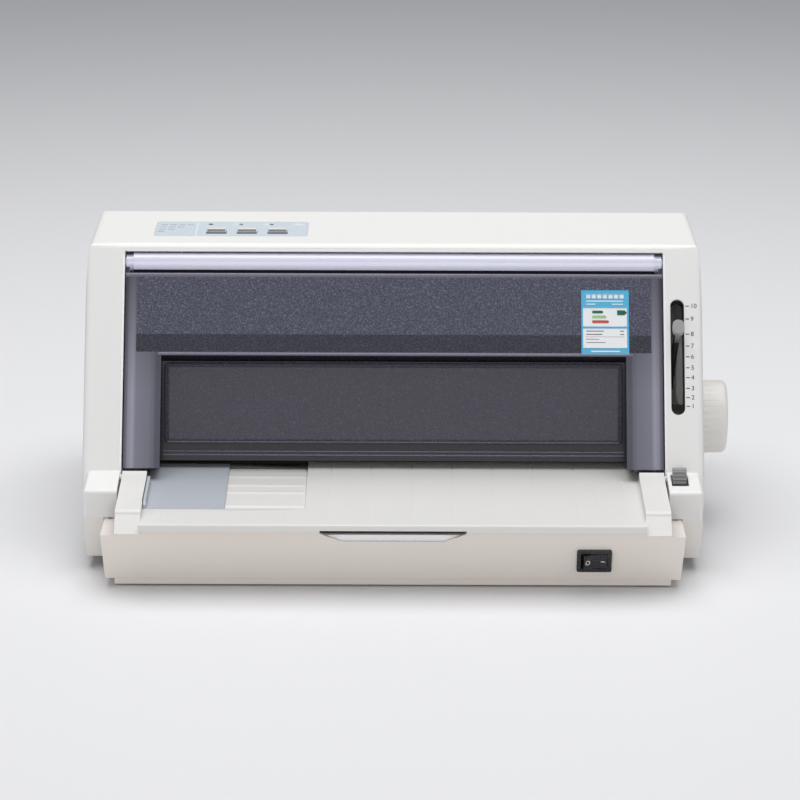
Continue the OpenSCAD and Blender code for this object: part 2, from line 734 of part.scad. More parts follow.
guide_t = 1.3;
guide_lift = 0.7;
guide_gap = 0.5;
guide_x0 = track[0] + guide_gap;
fence_h = 4.6;
fence_t = 1.8;
guide_y = [track_y[0] + 0.4, -42];
fence_back = -77;
module edge_guide() {
    sole_d = track_d - guide_lift;
    color(grey) {
        along_x(guide_x0, guide_x0 + guide_w) polygon([
            [guide_y[0], table_top(guide_y[0]) - sole_d], [guide_y[1], table_top(guide_y[1]) - sole_d],
            [guide_y[1], table_top(guide_y[1]) - sole_d + guide_t],
                [guide_y[0], table_top(guide_y[0]) - sole_d + guide_t]
        ]);
        along_x(guide_x0, guide_x0 + fence_t) polygon([
            [guide_y[0], table_top(guide_y[0]) - 0.5], [fence_back, table_top(fence_back) - 0.5],
            [fence_back, table_top(fence_back) + fence_h],
                [guide_y[0] + 3.6, table_top(guide_y[0]) + fence_h],
            [guide_y[0], table_top(guide_y[0]) + 2]
        ]);
    }
}

// ---------------------------------------------------------------- controls on the top
module control_overlay() {
    edge_gap = 0.3;
    color([0.83, 0.88, 0.92]) difference() {
        translate([overlay_x, overlay_y, case_h - overlay_t]) linear_extrude(overlay_t - 0.1)
            round_rect(overlay_w - edge_gap, overlay_d - edge_gap, overlay_r);
        control_holes();
    }
}
button_foot_d = 3;
button_up = 1.2;
switch_block_h = 1;
switch_block_w = 6;
board_t = 1.6;
module push_button(i) {
    low = case_h - 5;
    stem_z = case_h - board_drop + board_t + switch_block_h + 0.8;
    color([0.66, 0.67, 0.69]) translate([button_x(i), button_y, 0]) {
        translate([0, 0, low]) linear_extrude(case_h + button_up - low) round_rect(button_w, button_d, 0.9);
        // cap that is highest at the front
        rotate([90, 0, 90]) translate([0, 0, -button_w / 2 + 0.4]) linear_extrude(button_w - 0.8) polygon([
            [-button_d / 2 + 0.4, case_h + 1], [-button_d / 2 + 0.9, case_h + 2.6],
            [button_d / 2 - 0.5, case_h + 1.9], [button_d / 2 - 0.4, case_h + 1]
        ]);
        translate([0, 0, stem_z]) cylinder(r = button_foot_d / 2, h = low - stem_z + 0.1);
    }
}
module led_lenses() {
    color([0.25, 0.3, 0.28]) for (i = [0:2])
        translate([button_x(i) + led_dx, led_y, case_h - board_drop + board_t])
            cylinder(r = led_r, h = board_drop - board_t + 0.1);
}
module control_board() {
    color([0.1, 0.35, 0.2]) difference() {
        union() {
            translate([overlay_x, overlay_y, case_h - board_drop]) linear_extrude(board_t)
                square([overlay_w - 12, overlay_d - 4], center = true);
            for (i = [0:2]) translate([button_x(i), button_y, case_h - board_drop + board_t - 0.1])
                linear_extrude(switch_block_h) square([switch_block_w, switch_block_w], center = true);
        }
        for (x = [-1, 1]) translate([overlay_x + x * board_post_x, overlay_y + board_post_y,
            case_h - board_drop - past])
            cylinder(r = board_post_r + 0.02, h = 4);
    }
}

// ---------------------------------------------------------------- gap lever
lever_r = 62;
lever_pivot = let(c = on_face(slot_mid, 0)) [c[0] + lever_r * cos(lean), c[1] - lever_r * sin(lean)];
lever_shaft_r = 3;
lever_rest = 13.5;
lever_t = 3;
lever_hub_r = 8;
paddle = [7.2, 9.6, 3.5];
// Places a child so that its +Y axis points from the lever's pivot out through the slot's middle.
module at_lever(turn) {
    translate([slot_x, lever_pivot[0], lever_pivot[1]]) rotate([180 - lean - turn, 0, 0]) children();
}
module gap_lever() {
    tip = lever_r + 4;
    color([0.52, 0.53, 0.54]) at_lever(lever_rest) rotate([90, 0, 90]) {
        difference() {
            translate([0, 0, -lever_t / 2]) linear_extrude(lever_t) polygon(concat(
                arc([0, 0], lever_hub_r, 60, 300, 14),
                [[20, -4.2], [lever_r - 6, -2.6], [tip, -2.4], [tip, 2.4], [lever_r - 6, 2.6], [20, 4.2]]
            ));
            cylinder(r = lever_shaft_r + 0.02, h = 20, center = true);
        }
        // paddle grip
        translate([lever_r + 8, 0, 0]) rotate([0, 90, 0]) {
            translate([0, 0, -4.4]) cylinder(r1 = 2.6, r2 = 3.6, h = 4);
            translate([0, 0, -0.4]) linear_extrude(4) round_rect(paddle[0], paddle[1], paddle[2]);
        }
    }
}
cam_r = 7;
module gap_shaft() {
    color(steel) bar_x(lever_pivot, lever_shaft_r, frame_x - 6, slot_x + lever_t);
    color(steel) bar_x([lever_pivot[0] + 1.2, lever_pivot[1]], cam_r, frame_x - 5.5, frame_x - 2.6);
}
channel_d = 9;
module lever_channel() {
    s0 = slot_mid - slot_half;
    s1 = slot_mid + slot_half;
    color(black) difference() {
        face_slot(slot_x, slot_w + 3, s0 - 1.5, s1 + 1.5, wall + 0.1, wall + channel_d);
        face_slot(slot_x, slot_w - 1, s0 + 0.5, s1 - 0.5, wall - past, wall + channel_d + past);
    }
}

// ---------------------------------------------------------------- release lever
release_hub_r = 5;
release_grip_zs = [52.5, 54.7, 56.9];
module release_lever() {
    x0 = release_x - release_w / 2;
    x1 = release_x + release_w / 2;
    color([0.45, 0.47, 0.49]) {
        along_x(x0, x1) polygon(concat(
            arc(release_pivot, release_hub_r, 20, -170, 8),
            [[release_tip[0] - 5.6, 50], [release_tip[0] - 3.2, release_tip[1] - 0.6]],
            [[release_tip[0] - 0.4, release_tip[1]], [release_tip[0] + 0.8, release_tip[1] - 1.4],
                [release_tip[0] + 1.6, 49]]
        ));
        for (z = release_grip_zs) bar_x([release_tip[0] - 5.6 + (z - 50) * 0.29, z], 0.6, x0 + 0.3,
            x1 - 0.3);
        bar_x(release_pivot, release_pin_r, bay + 0.4, release_x);
    }
}

// ---------------------------------------------------------------- power switch
bezel_t = 1.8;
bezel_deep = 14;
pin_r = 1;
module switch_bezel() {
    color([0.09, 0.09, 0.1]) on_panel(switch_x, switch_z) difference() {
        union() {
            linear_extrude(bezel_t) round_rect(switch_w, switch_h, 1.2);
            translate([0, 0, -bezel_deep]) linear_extrude(bezel_deep + 0.1)
                square([switch_w - 2.3, switch_h - 2.3], center = true);
        }
        translate([0, 0, -8]) linear_extrude(12) square([switch_w - 5, switch_h - 4.4], center = true);
        rotate([90, 0, 0]) translate([0, -rocker_drop, -switch_h / 2 + 1.4])
            cylinder(r = pin_r + 0.1, h = switch_h - 2.8);
    }
}
rocker_half = switch_w / 2 - 3.3;
rocker_tilt = 9;
rocker_drop = 1.2;
module rocker() {
    body_w = switch_h - 5.2;
    pin_w = switch_h - 3.2;
    color([0.11, 0.11, 0.12]) on_panel(switch_x, switch_z) translate([0, 0, -rocker_drop])
        rotate([0, rocker_tilt, 0]) {
        rotate([90, 0, 0]) translate([0, 0, -body_w / 2]) linear_extrude(body_w) polygon([
            [-rocker_half, 2.2], [-rocker_half, 4.4], [-2, 3.2], [2, 3.2],
            [rocker_half, 4.4], [rocker_half, 2.2], [3, -4], [-3, -4]
        ]);
        rotate([90, 0, 0]) translate([0, 0, -pin_w / 2]) cylinder(r = pin_r, h = pin_w);
    }
}

// ---------------------------------------------------------------- frames
frame_x = bay - 16.85;
frame_t = 1.6;
frame_z = floor_z + wall + 0.02;
frame_outline = [
    [-24, frame_z], [-24, 58], [-30, 70], [-30, 84], [-14, 120],
    [40, 132], [104, 128], [136, 104], [136, 64], [120, frame_z]
];
frame_foot_w = 7;
frame_foot_y = [-10, 110];
gear_x = -frame_x - frame_t - 1.5;
shaft_end = gear_x - gear_t - 1;
feed_at = [-8.2, 54];
rear_at = [62, 68.2];
pinch_front_at = [-15, 67];
pinch_rear_at = [62, 82.6];
shaft_r = 3;
tractor_at = [126, 80];
tractor_rod_at = [112, 95];
rod_at = [50, 101];
bush_r = 7;
motor_boss_r = 6;
frame_window = [34, 30, 5];
frame_window_at = [86, 46];
module side_frame(side) {
    x0 = side > 0 ? frame_x : -frame_x - frame_t;
    x1 = x0 + frame_t;
    color(steel) difference() {
        union() {
            along_x(x0, x1) polygon(frame_outline);
            // foot that screws to the base
            block([side > 0 ? x1 - frame_foot_w : x0, frame_foot_y[0], frame_z],
                [side > 0 ? x1 : x0 + frame_foot_w, frame_foot_y[1], frame_z + frame_t]);
        }
        bar_x(knob_at, bush_r, x0 - past, x1 + past);
        for (p = [feed_at, rear_at, pinch_front_at, pinch_rear_at, tractor_at, lever_pivot])
            bar_x(p, shaft_r + run_gap, x0 - past, x1 + past);
        bar_x(tractor_rod_at, shaft_r, x0 - past, x1 + past);
        bar_x(rod_at, rod_r, x0 - past, x1 + past);
        bar_x(pinion_at, motor_boss_r, x0 - past, x1 + past);
        along_x(x0 - past, x1 + past) translate(frame_window_at)
            round_rect(frame_window[0], frame_window[1], frame_window[2]);
    }
}
rail_y = [68, 104];
rail_z = [90, 98, 112];
rail_t = 1.6;
module cross_rail() {
    color(steel) difference() {
        union() {
            block([-frame_x, rail_y[0], rail_z[1]], [frame_x, rail_y[1], rail_z[1] + rail_t]);
            block([-frame_x, rail_y[0], rail_z[1]], [frame_x, rail_y[0] + rail_t, rail_z[2]]);
            block([-frame_x, rail_y[1] - rail_t, rail_z[0]], [frame_x, rail_y[1], rail_z[1] + rail_t]);
        }
        for (x = [-1, 1]) translate([x * pulley_x, belt_y, rail_z[0]])
            cylinder(r = pulley_axle_r + 0.5, h = 20);
    }
}

// ---------------------------------------------------------------- platen, rollers and gears
// Involute gear outline in its own plane, with a tooth centred on angle 0.
press_a = 20;
backlash = 0.12;
addendum = 0.92;
dedendum = 1.25;
function inv(a) = tan(a) * 180 / PI - a;
function gear_pts(n, m) = let(
        rp = m * n / 2, rb = rp * cos(press_a), ra = rp + addendum * m, rf = rp - dedendum * m,
        half_tooth = 90 / n - backlash / rp * 90 / PI,
        r0 = max(rb, rf),
        flank = [for (i = [0:3]) let(r = r0 + (ra - r0) * i / 3, a = acos(min(1, rb / r)))
            [r, half_tooth + inv(press_a) - inv(a)]]
    ) [for (k = [0:n - 1]) each concat(
        [[rf, -half_tooth - inv(press_a) - 0.3]],
        [for (i = [0:3]) [flank[i][0], -flank[i][1]]],
        [for (i = [3:-1:0]) [flank[i][0], flank[i][1]]],
        [[rf, half_tooth + inv(press_a) + 0.3]]
    ) + [for (j = [0:9]) [0, k * 360 / n]]];
module gear_shape(n, m, bore) {
    difference() {
        polygon([for (p = gear_pts(n, m)) [p[0] * cos(p[1]), p[0] * sin(p[1])]]);
        circle(bore / cos(15), $fn = 12);
    }
}
// A gear at a (y, z) place with a tooth at the given angle, on the outside of the left frame.
module gear_at(at, n, phase, bore) {
    translate([gear_x - gear_t, at[0], at[1]]) rotate([90, 0, 90]) linear_extrude(gear_t) rotate(phase)
        gear_shape(n, gear_m, bore);
}
n_platen = 28;
n_feed = 16;
n_idler = 20;
n_pinion = 14;
n_tractor_idler = 52;
n_tractor = 20;
function gear_gap(a, b) = gear_m * (a + b) / 2;
// The point at ra from a and rb from b, on the side chosen by k.
function meet(a, ra, b, rb, k) = let(
        d = norm(b - a), u = (b - a) / d, x = (ra * ra - rb * rb + d * d) / (2 * d),
            h = sqrt(ra * ra - x * x)
    ) a + x * u + k * h * [-u[1], u[0]];
function dir(a, b) = atan2(b[1] - a[1], b[0] - a[0]);
// Phase of gear b (nb teeth) that meshes with gear a (na teeth, phase pa).
function mesh_phase(a, na, pa, b, nb) = let(f = dir(a, b)) f + 180 - (pa - f) * na / nb - 180 / nb;
idler_front_at = meet(knob_at, gear_gap(n_platen, n_idler), feed_at, gear_gap(n_idler, n_feed), 1);
idler_rear_at = meet(knob_at, gear_gap(n_platen, n_idler), rear_at, gear_gap(n_idler, n_feed), -1);
pinion_at = idler_rear_at + gear_gap(n_idler, n_pinion) * [cos(-76), sin(-76)];
idler_tractor_at = meet(rear_at, gear_gap(n_feed, n_tractor_idler), tractor_at,
    gear_gap(n_tractor_idler, n_tractor), 1);
platen_phase = 0;
idler_front_phase = mesh_phase(knob_at, n_platen, platen_phase, idler_front_at, n_idler);
feed_phase = mesh_phase(idler_front_at, n_idler, idler_front_phase, feed_at, n_feed);
idler_rear_phase = mesh_phase(knob_at, n_platen, platen_phase, idler_rear_at, n_idler);
rear_phase = mesh_phase(idler_rear_at, n_idler, idler_rear_phase, rear_at, n_feed);
pinion_phase = mesh_phase(idler_rear_at, n_idler, idler_rear_phase, pinion_at, n_pinion);
idler_tractor_phase = mesh_phase(rear_at, n_feed, rear_phase, idler_tractor_at, n_tractor_idler);
tractor_phase = mesh_phase(idler_tractor_at, n_tractor_idler, idler_tractor_phase, tractor_at, n_tractor);
gear_bore_gap = 0.06;
roller_end = frame_x - 1.4;
rubber_end = roller_end - 3;
knob_shaft_in = 13;

module platen_roller() {
    color(rubber) difference() {
        bar_x(knob_at, platen_r, -rubber_end, rubber_end);
        bar_x(knob_at, platen_shaft_r, -roller_end, roller_end);
    }
}
module platen_shaft() {
    color(steel) bar_x(knob_at, platen_shaft_r, shaft_end, half_w + knob_gap + knob_shaft_in);
}
module platen_gear() {
    color(acetal) gear_at(knob_at, n_platen, platen_phase, platen_shaft_r + gear_bore_gap);
}
flange_t = 1.1;
flange_r = 8.5;
module platen_bushes() {
    color(black) for (x = [-frame_x - frame_t, frame_x]) difference() {
        union() {
            bar_x(knob_at, bush_r - seat_gap, x - seat_gap, x + frame_t + seat_gap);
            bar_x(knob_at, flange_r, x > 0 ? x - flange_t : x + frame_t + 0.02,
                x > 0 ? x - 0.02 : x + frame_t + flange_t);
        }
        bar_x(knob_at, platen_shaft_r + run_gap, x - 3, x + frame_t + 3);
    }
}
knob_gap = 1;
knob_hub_r = 7.5;
knob_wall = 2.5;
knob_grips = 36;
knob_edge_r = 3.6;
module platen_knob() {
    top = knob_reach - knob_gap;
    color([0.9, 0.89, 0.86]) translate([half_w + knob_gap, knob_at[0], knob_at[1]]) rotate([0, 90, 0])
        difference() {
        union() {
            rotate_extrude($fn = 96) polygon(concat(
                [[0, 0], [knob_r, 0]],
                arc([knob_r - knob_edge_r - 0.4, top - 1 - knob_edge_r], knob_edge_r, 4, 74, 6),
                [[knob_r * 0.5, top - 0.25], [0, top]]
            ));
            translate([0, 0, -20]) cylinder(r = knob_hub_r, h = 21);
        }
        translate([0, 0, -21]) cylinder(r = platen_shaft_r + 0.001, h = 21 + knob_shaft_in);
        // hollow back of the knob
        translate([0, 0, -0.1]) difference() {
            cylinder(r = knob_r - knob_wall, h = top - 5);
            translate([0, 0, -past]) cylinder(r = knob_hub_r, h = knob_reach);
        }
        // shallow grips round the rim
        for (i = [0:knob_grips - 1]) rotate(i * 360 / knob_grips) translate([knob_r + 0.55, 0, -past])
            cylinder(r = 1, h = top - 4);
    }
}
roller_xs = [-110, -66, -22, 22, 66, 110];
feed_w = 18;
pinch_w = 12;
roller_shaft_end = frame_x + frame_t + 1;
module roller_set(at, r, len) {
    for (x = roller_xs) difference() {
        bar_x(at, r, x - len / 2, x + len / 2);
        bar_x(at, shaft_r, x - len, x + len);
    }
}
module feed_roller(at) {
    color(steel) bar_x(at, shaft_r, shaft_end, roller_shaft_end);
    color(rubber) roller_set(at, feed_r, feed_w);
}
module pinch_rollers(at) {
    color(steel) bar_x(at, shaft_r, -frame_x - 1, frame_x + 1);
    color([0.88, 0.88, 0.88]) roller_set(at, pinch_r, pinch_w);
}
module shaft_gear(at, n, phase) {
    color(acetal) gear_at(at, n, phase, shaft_r + gear_bore_gap);
}
module idler_studs() {
    color(steel) for (p = [idler_front_at, idler_rear_at, idler_tractor_at]) {
        bar_x(p, shaft_r, gear_x - gear_t - 1.2, -frame_x - frame_t + 0.1);
        bar_x(p, shaft_r + 1, gear_x + 0.15, -frame_x - frame_t + 0.1);
    }
}
motor_r = 17.5;
motor_l = 22;
motor_axle_r = 2;
module feed_motor() {
    color([0.3, 0.31, 0.33]) {
        bar_x(pinion_at, motor_r, -frame_x + 0.1, -frame_x + motor_l);
        bar_x(pinion_at, motor_boss_r - 0.2, -frame_x - frame_t, -frame_x + 1);
    }
    color(steel) bar_x(pinion_at, motor_axle_r, gear_x - gear_t - 0.5, -frame_x);
}
module motor_pinion() {
    color([0.85, 0.7, 0.35]) gear_at(pinion_at, n_pinion, pinion_phase, motor_axle_r + gear_bore_gap);
}

// Sloping paper guides inside the printer, before and behind the platen.
guide_end = frame_x - 0.6;
front_guide_outline = [[-33, 46], [-33, 47.4], [-27, 50.6], [4, 66.8], [6.2, 71.8], [8, 71.8],
    [6.4, 63], [-25, 46]];
rear_guide_outline = [[42, 71.5], [42, 73.6], [100, 75.4], [100, 73.3], [90, 69], [88, 69], [88, 72.6]];
roller_gap = 1;
module roller_windows(at) {
    for (x = roller_xs) bar_x(at, feed_r + roller_gap, x - feed_w / 2 - 2, x + feed_w / 2 + 2);
}
module paper_guide() {
    color([0.2, 0.2, 0.22]) difference() {
        along_x(-guide_end, guide_end) polygon(front_guide_outline);
        roller_windows(feed_at);
        bar_x(feed_at, shaft_r + roller_gap, -frame_x, frame_x);
        bar_x(knob_at, platen_r + 1.2, -frame_x, frame_x);
    }
}
module rear_guide() {
    color([0.2, 0.2, 0.22]) difference() {
        along_x(-guide_end, guide_end) polygon(rear_guide_outline);
        roller_windows(rear_at);
    }
}

// ---------------------------------------------------------------- carriage, head, belt and ribbon
head_y = knob_at[0];
head_nose_z = knob_at[1] + platen_r + 2.4;
head_half = 15;
head_deep = 13;
nose_half = [5, 4];
nose_h = 6;
head_body_z = [head_nose_z + nose_h, head_nose_z + 22];
fin_pitch = 5.4;
fin_t = 2.6;
fin_top = head_nose_z + 38;
carriage_half = 24;
pulley_x = 128;
pulley_axle_r = 2;
belt_y = 84;
belt_z = [103, 109];
belt_t = 1.2;
module print_head() {
    color([0.25, 0.26, 0.28]) {
        block([-nose_half[0], head_y - nose_half[1], head_nose_z],
            [nose_half[0], head_y + nose_half[1], head_nose_z + nose_h + 2]);
        block([-head_half, head_y - head_deep, head_body_z[0]],
            [head_half, head_y + head_deep, head_body_z[1]]);
    }
    color([0.6, 0.61, 0.63]) for (i = [0:5]) let(x = -head_half + i * fin_pitch)
        block([x, head_y - head_deep + 1, head_body_z[1] - 0.1],
            [x + fin_t, head_y + head_deep - 1, fin_top]);
}
clamp_half = 10;
clamp_t = 2.6;
clamp_y = [64, 72.5, 80];
clamp_z = [106, 116];
rod_half = 8;
module carriage() {
    color(black) difference() {
        union() {
            block([-carriage_half, head_y - head_deep - 4, head_nose_z + 9],
                [carriage_half, rod_at[0] + rod_half, head_nose_z + 16]);
            block([-carriage_half, rod_at[0] - rod_half, rod_at[1] - rod_half],
                [carriage_half, rod_at[0] + rod_half, rod_at[1] + rod_half]);
            // arm that reaches back over the rail and grips the belt
            block([-clamp_half, rod_at[0] + 6, rod_at[1] + 2],
                [clamp_half, clamp_y[0] + clamp_t, rod_at[1] + 7]);
            block([-clamp_half, clamp_y[0], rod_at[1] + 2], [clamp_half, clamp_y[0] + clamp_t, clamp_z[1]]);
            block([-clamp_half, clamp_y[0], clamp_z[1] - clamp_t], [clamp_half, clamp_y[2], clamp_z[1]]);
            block([-clamp_half, clamp_y[1], clamp_z[0]],
                [clamp_half, clamp_y[2], clamp_z[1] - clamp_t + 0.6]);
        }
        block([-head_half - 0.1, head_y - head_deep - 0.1, head_nose_z],
            [head_half + 0.1, head_y + head_deep + 0.1, fin_top + 2]);
        bar_x(rod_at, rod_r + run_gap, -carriage_half - past, carriage_half + past);
        // slot round the belt's front run
        block([-clamp_half - past, belt_y - pulley_r - belt_t / 2 - 0.3, belt_z[0] - past],
            [clamp_half + past, belt_y - pulley_r + belt_t / 2 + 0.3, belt_z[1] + 0.3]);
    }
}
module guide_rod() {
    color(steel) bar_x(rod_at, rod_r, -frame_x - frame_t, frame_x + frame_t);
}
pulley_rim = 1.6;
pulley_rim_t = 0.8;
pulley_h = 6.6;
module belt_pulley(x) {
    color(steel) translate([x, belt_y, belt_z[0] - 1]) difference() {
        union() {
            cylinder(r = pulley_r + pulley_rim, h = pulley_rim_t);
            translate([0, 0, pulley_rim_t]) cylinder(r = pulley_r - belt_t / 2 - seat_gap, h = pulley_h);
            translate([0, 0, pulley_rim_t + pulley_h - 0.1])
                cylinder(r = pulley_r + pulley_rim, h = pulley_rim_t);
        }
        translate([0, 0, -past]) cylinder(r = pulley_axle_r + run_gap, h = 12);
    }
}
module belt_loop(side) {
    square([2 * pulley_x, 2 * pulley_r + side * belt_t], center = true);
    for (x = [-1, 1]) translate([x * pulley_x, 0]) circle(pulley_r + side * belt_t / 2);
}
module timing_belt() {
    color(rubber) translate([0, belt_y, belt_z[0]]) linear_extrude(belt_z[1] - belt_z[0]) difference() {
        belt_loop(1);
        belt_loop(-1);
    }
}
drive_motor_r = 17;
drive_motor_l = 30;
drive_post_r = 14;
module carriage_motor() {
    motor_z = belt_z[1] + 3;
    color([0.3, 0.31, 0.33]) translate([-pulley_x, belt_y, motor_z])
        cylinder(r = drive_motor_r, h = drive_motor_l);
    color(steel) translate([-pulley_x, belt_y, belt_z[0] - 2.6]) cylinder(r = pulley_axle_r, h = 14);
    // posts from the rail to the motor
    color(steel) for (a = [60, 120, 300, 240])
        translate([-pulley_x + drive_post_r * cos(a), belt_y + drive_post_r * sin(a), rail_z[1] + rail_t])
            cylinder(r = 2, h = motor_z + 0.2 - rail_z[1] - rail_t);
}
module idler_post() {
    post_z = belt_z[0] - 7;
    color(steel) {
        translate([pulley_x, belt_y, post_z]) cylinder(r = pulley_axle_r, h = belt_z[1] + 4.6 - post_z);
        translate([pulley_x, belt_y, post_z]) cylinder(r = 4.5, h = 1.9);
    }
}
ribbon_z = knob_at[1] + platen_r + 1.1;
ribbon_half = [133.5, 6.5, 0.15];
cart_half = frame_x - 10.4;
cart_y = [-22, 4];
cart_z = [118, 136];
cart_wall = 2;
arm_in = cart_half - 10;
peg_ys = [-12, -4];
module ribbon_cartridge() {
    color(black) difference() {
        union() {
            block([-cart_half, cart_y[0], cart_z[0]], [cart_half, cart_y[1], cart_z[1]]);
            both_sides() along_x(arm_in, cart_half) polygon([
                [cart_y[0], cart_z[0] + 0.1], [cart_y[1], cart_z[0] + 0.1], [36, 92], [36, ribbon_z - 0.2],
                [14, ribbon_z - 0.2], [10, 92], [-14, 108]
            ]);
        }
        block([-cart_half + cart_wall, cart_y[0] + cart_wall, cart_z[0] + cart_wall],
            [cart_half - cart_wall, cart_y[1] - cart_wall, cart_z[1] - cart_wall]);
        both_sides() block([arm_in - past, head_y - 9.5, ribbon_z - past],
            [arm_in + 4, head_y + 9.5, ribbon_z + 0.3]);
    }
    // pegs that rest in the side frames
    color(black) both_sides() for (y = peg_ys) block([cart_half - 0.1, y - 2, cart_z[0]],
        [frame_x - 0.1, y + 2, cart_z[0] + 3]);
}
module ribbon() {
    color([0.05, 0.05, 0.06]) block([-ribbon_half[0], head_y - ribbon_half[1], ribbon_z - ribbon_half[2]],
        [ribbon_half[0], head_y + ribbon_half[1], ribbon_z + ribbon_half[2]]);
}
ribbon_knob_at = [104, -9];
ribbon_knob_r = 8;
module ribbon_knob() {
    color([0.2, 0.2, 0.21]) translate([ribbon_knob_at[0], ribbon_knob_at[1], cart_z[1] + 0.3])
        difference() {
        union() {
            cylinder(r = ribbon_knob_r, h = 4);
            translate([0, 0, 3.9]) linear_extrude(4) square([13, 2.4], center = true);
        }
        for (i = [0:11]) rotate(i * 30) translate([ribbon_knob_r + 0.4, 0, -past]) cylinder(r = 1, h = 5.5);
    }
}

// ---------------------------------------------------------------- rear tractor
tractor_x = 116;
tractor_cheek = [6, 9];
tractor_tail = [[116, 71], [130, 69], [137, 76], [137, 84], [128, 88.5], [117, 100]];
tractor_bridge = [[106.5, 110.5], [89, 97]];
sprocket_r = 10.1;
sprocket_half = 5.6;
sprocket_pins = 5;
// Tractor body round the drive shaft and the support rod, centred on x.
module tractor_body(x) {
    color([0.16, 0.17, 0.18]) difference() {
        union() {
            translate([x, 0, 0]) both_sides() along_x(tractor_cheek[0], tractor_cheek[1])
                polygon(concat(arc(tractor_rod_at, 6, 60, 240, 8), tractor_tail));
            block([x - 8, tractor_bridge[0][0], tractor_bridge[1][0]],
                [x + 8, tractor_bridge[0][1], tractor_bridge[1][1]]);
        }
        bar_x(tractor_at, shaft_r + 1.6, x - 20, x + 20);
        bar_x(tractor_rod_at, shaft_r + run_gap, x - 20, x + 20);
    }
}
module sprocket(x) {
    color([0.85, 0.85, 0.86]) translate([x, tractor_at[0], tractor_at[1]]) rotate([90, 0, 90])
        difference() {
        union() {
            translate([0, 0, -sprocket_half]) cylinder(r = sprocket_r, h = 2 * sprocket_half);
            for (i = [1:sprocket_pins]) rotate(i * 360 / sprocket_pins)
                translate([sprocket_r - 1, 0, 0]) rotate([0, 90, 0])
                cylinder(r1 = 1.6, r2 = 0.9, h = 3.4);
        }
        translate([0, 0, -8]) cylinder(r = shaft_r + run_gap, h = 16);
    }
}
module tractor_shaft() {
    color(steel) bar_x(tractor_at, shaft_r, shaft_end, roller_shaft_end);
}
module tractor_rod() {
    color(steel) bar_x(tractor_rod_at, shaft_r, -frame_x - frame_t, frame_x + frame_t);
}

// ---------------------------------------------------------------- hatch on the rear slope
hatch_hinge_r = 2.5;
module rear_hatch() {
    color(white) on_slope() difference() {
        union() {
            block([-hatch_w / 2 + hatch_gap, hatch_from + hatch_pin_y, -wall],
                [hatch_w / 2 - hatch_gap, hatch_to - hatch_gap, 0]);
            translate([0, hatch_from + hatch_pin_y, -hatch_pin_d]) rotate([0, 90, 0]) {
                cylinder(r = hatch_hinge_r, h = hatch_w - 2 * hatch_gap, center = true);
                cylinder(r = hatch_pin_r, h = hatch_w + 2 * hatch_pin_len, center = true);
            }
        }
        // finger grip at the lower edge
        block([-30, hatch_to - 6, -1.2], [30, hatch_to + 2, 1]);
    }
}

// ---------------------------------------------------------------- electronics and sockets
chips = [[[-90, 20], [-62, 48], 2.8], [[-40, 10], [-22, 40], 2.4], [[-10, 60], [14, 76], 2.4]];
capacitor_xs = [-120, -106, 0, 14];
header_xs = [-126, -60, 10];
module main_board() {
    top = board_z + board_t;
    color([0.1, 0.35, 0.2]) difference() {
        block([board[0][0], board[0][1], board_z + seat_gap], [board[1][0], board[1][1], top + seat_gap]);
        for (p = board_posts) translate([p[0], p[1], board_z - past]) cylinder(r = 1.4, h = 5);
    }
    color(black) for (c = chips) block([c[0][0], c[0][1], top], [c[1][0], c[1][1], top + c[2]]);
    color([0.2, 0.3, 0.5]) for (x = capacitor_xs) translate([x, 98, top]) cylinder(r = 5, h = 14);
    color([0.85, 0.85, 0.83]) for (x = header_xs) block([x, -8, top], [x + 24, -2, top + 7.4]);
    data_sockets();
}
supply_x = [64, 138];
supply_y = [back_y - 104, back_y - 34];
supply_top = 42;
supply_board_z = [8, 9.6];
module power_supply() {
    low = floor_z + wall + seat_gap;
    color(steel) difference() {
        block([supply_x[0], supply_y[0], low], [supply_x[1], supply_y[1], supply_top]);
        block([supply_x[0] + 2, supply_y[0] + 2, low + 2],
            [supply_x[1] - 2, supply_y[1] - 2, supply_top + 2]);
    }
    color([0.78, 0.74, 0.55]) block([supply_x[0] + 2 + seat_gap, supply_y[0] + 14, supply_board_z[0]],
        [supply_x[0] + 56, supply_y[1] - 4, supply_board_z[1]]);
    color([0.9, 0.75, 0.2]) block([supply_x[0] + 10, supply_y[0] + 22, supply_board_z[1]],
        [supply_x[0] + 36, supply_y[0] + 48, supply_top - 6]);
    color([0.15, 0.15, 0.2]) for (y = [20, 36]) translate([supply_x[0] + 48, supply_y[0] + y,
        supply_board_z[1]])
        cylinder(r = 6, h = 22);
}
inlet_deep = 22;
blade_xs = [-7, 0, 7];
module power_inlet() {
    face_y = back_y - 0.2;
    room_y = back_y - inlet_deep + 4;
    color(black) difference() {
        block([inlet_x + inlet_box[0][0] + socket_gap, back_y - inlet_deep, inlet_box[0][1] + socket_gap],
            [inlet_x + inlet_box[1][0] - socket_gap, face_y, inlet_box[1][1] - socket_gap]);
        block([inlet_x + inlet_box[0][0] + 3.5, room_y, inlet_box[0][1] + 3.5],
            [inlet_x + inlet_box[1][0] - 3.5, back_y + past, inlet_box[1][1] - 3.5]);
    }
    color(steel) for (x = blade_xs) let(z = inlet_box[0][1] + (x == 0 ? 11 : 8))
        block([inlet_x + x - 1, room_y - 0.1, z], [inlet_x + x + 1, back_y - 4, z + 5]);
}
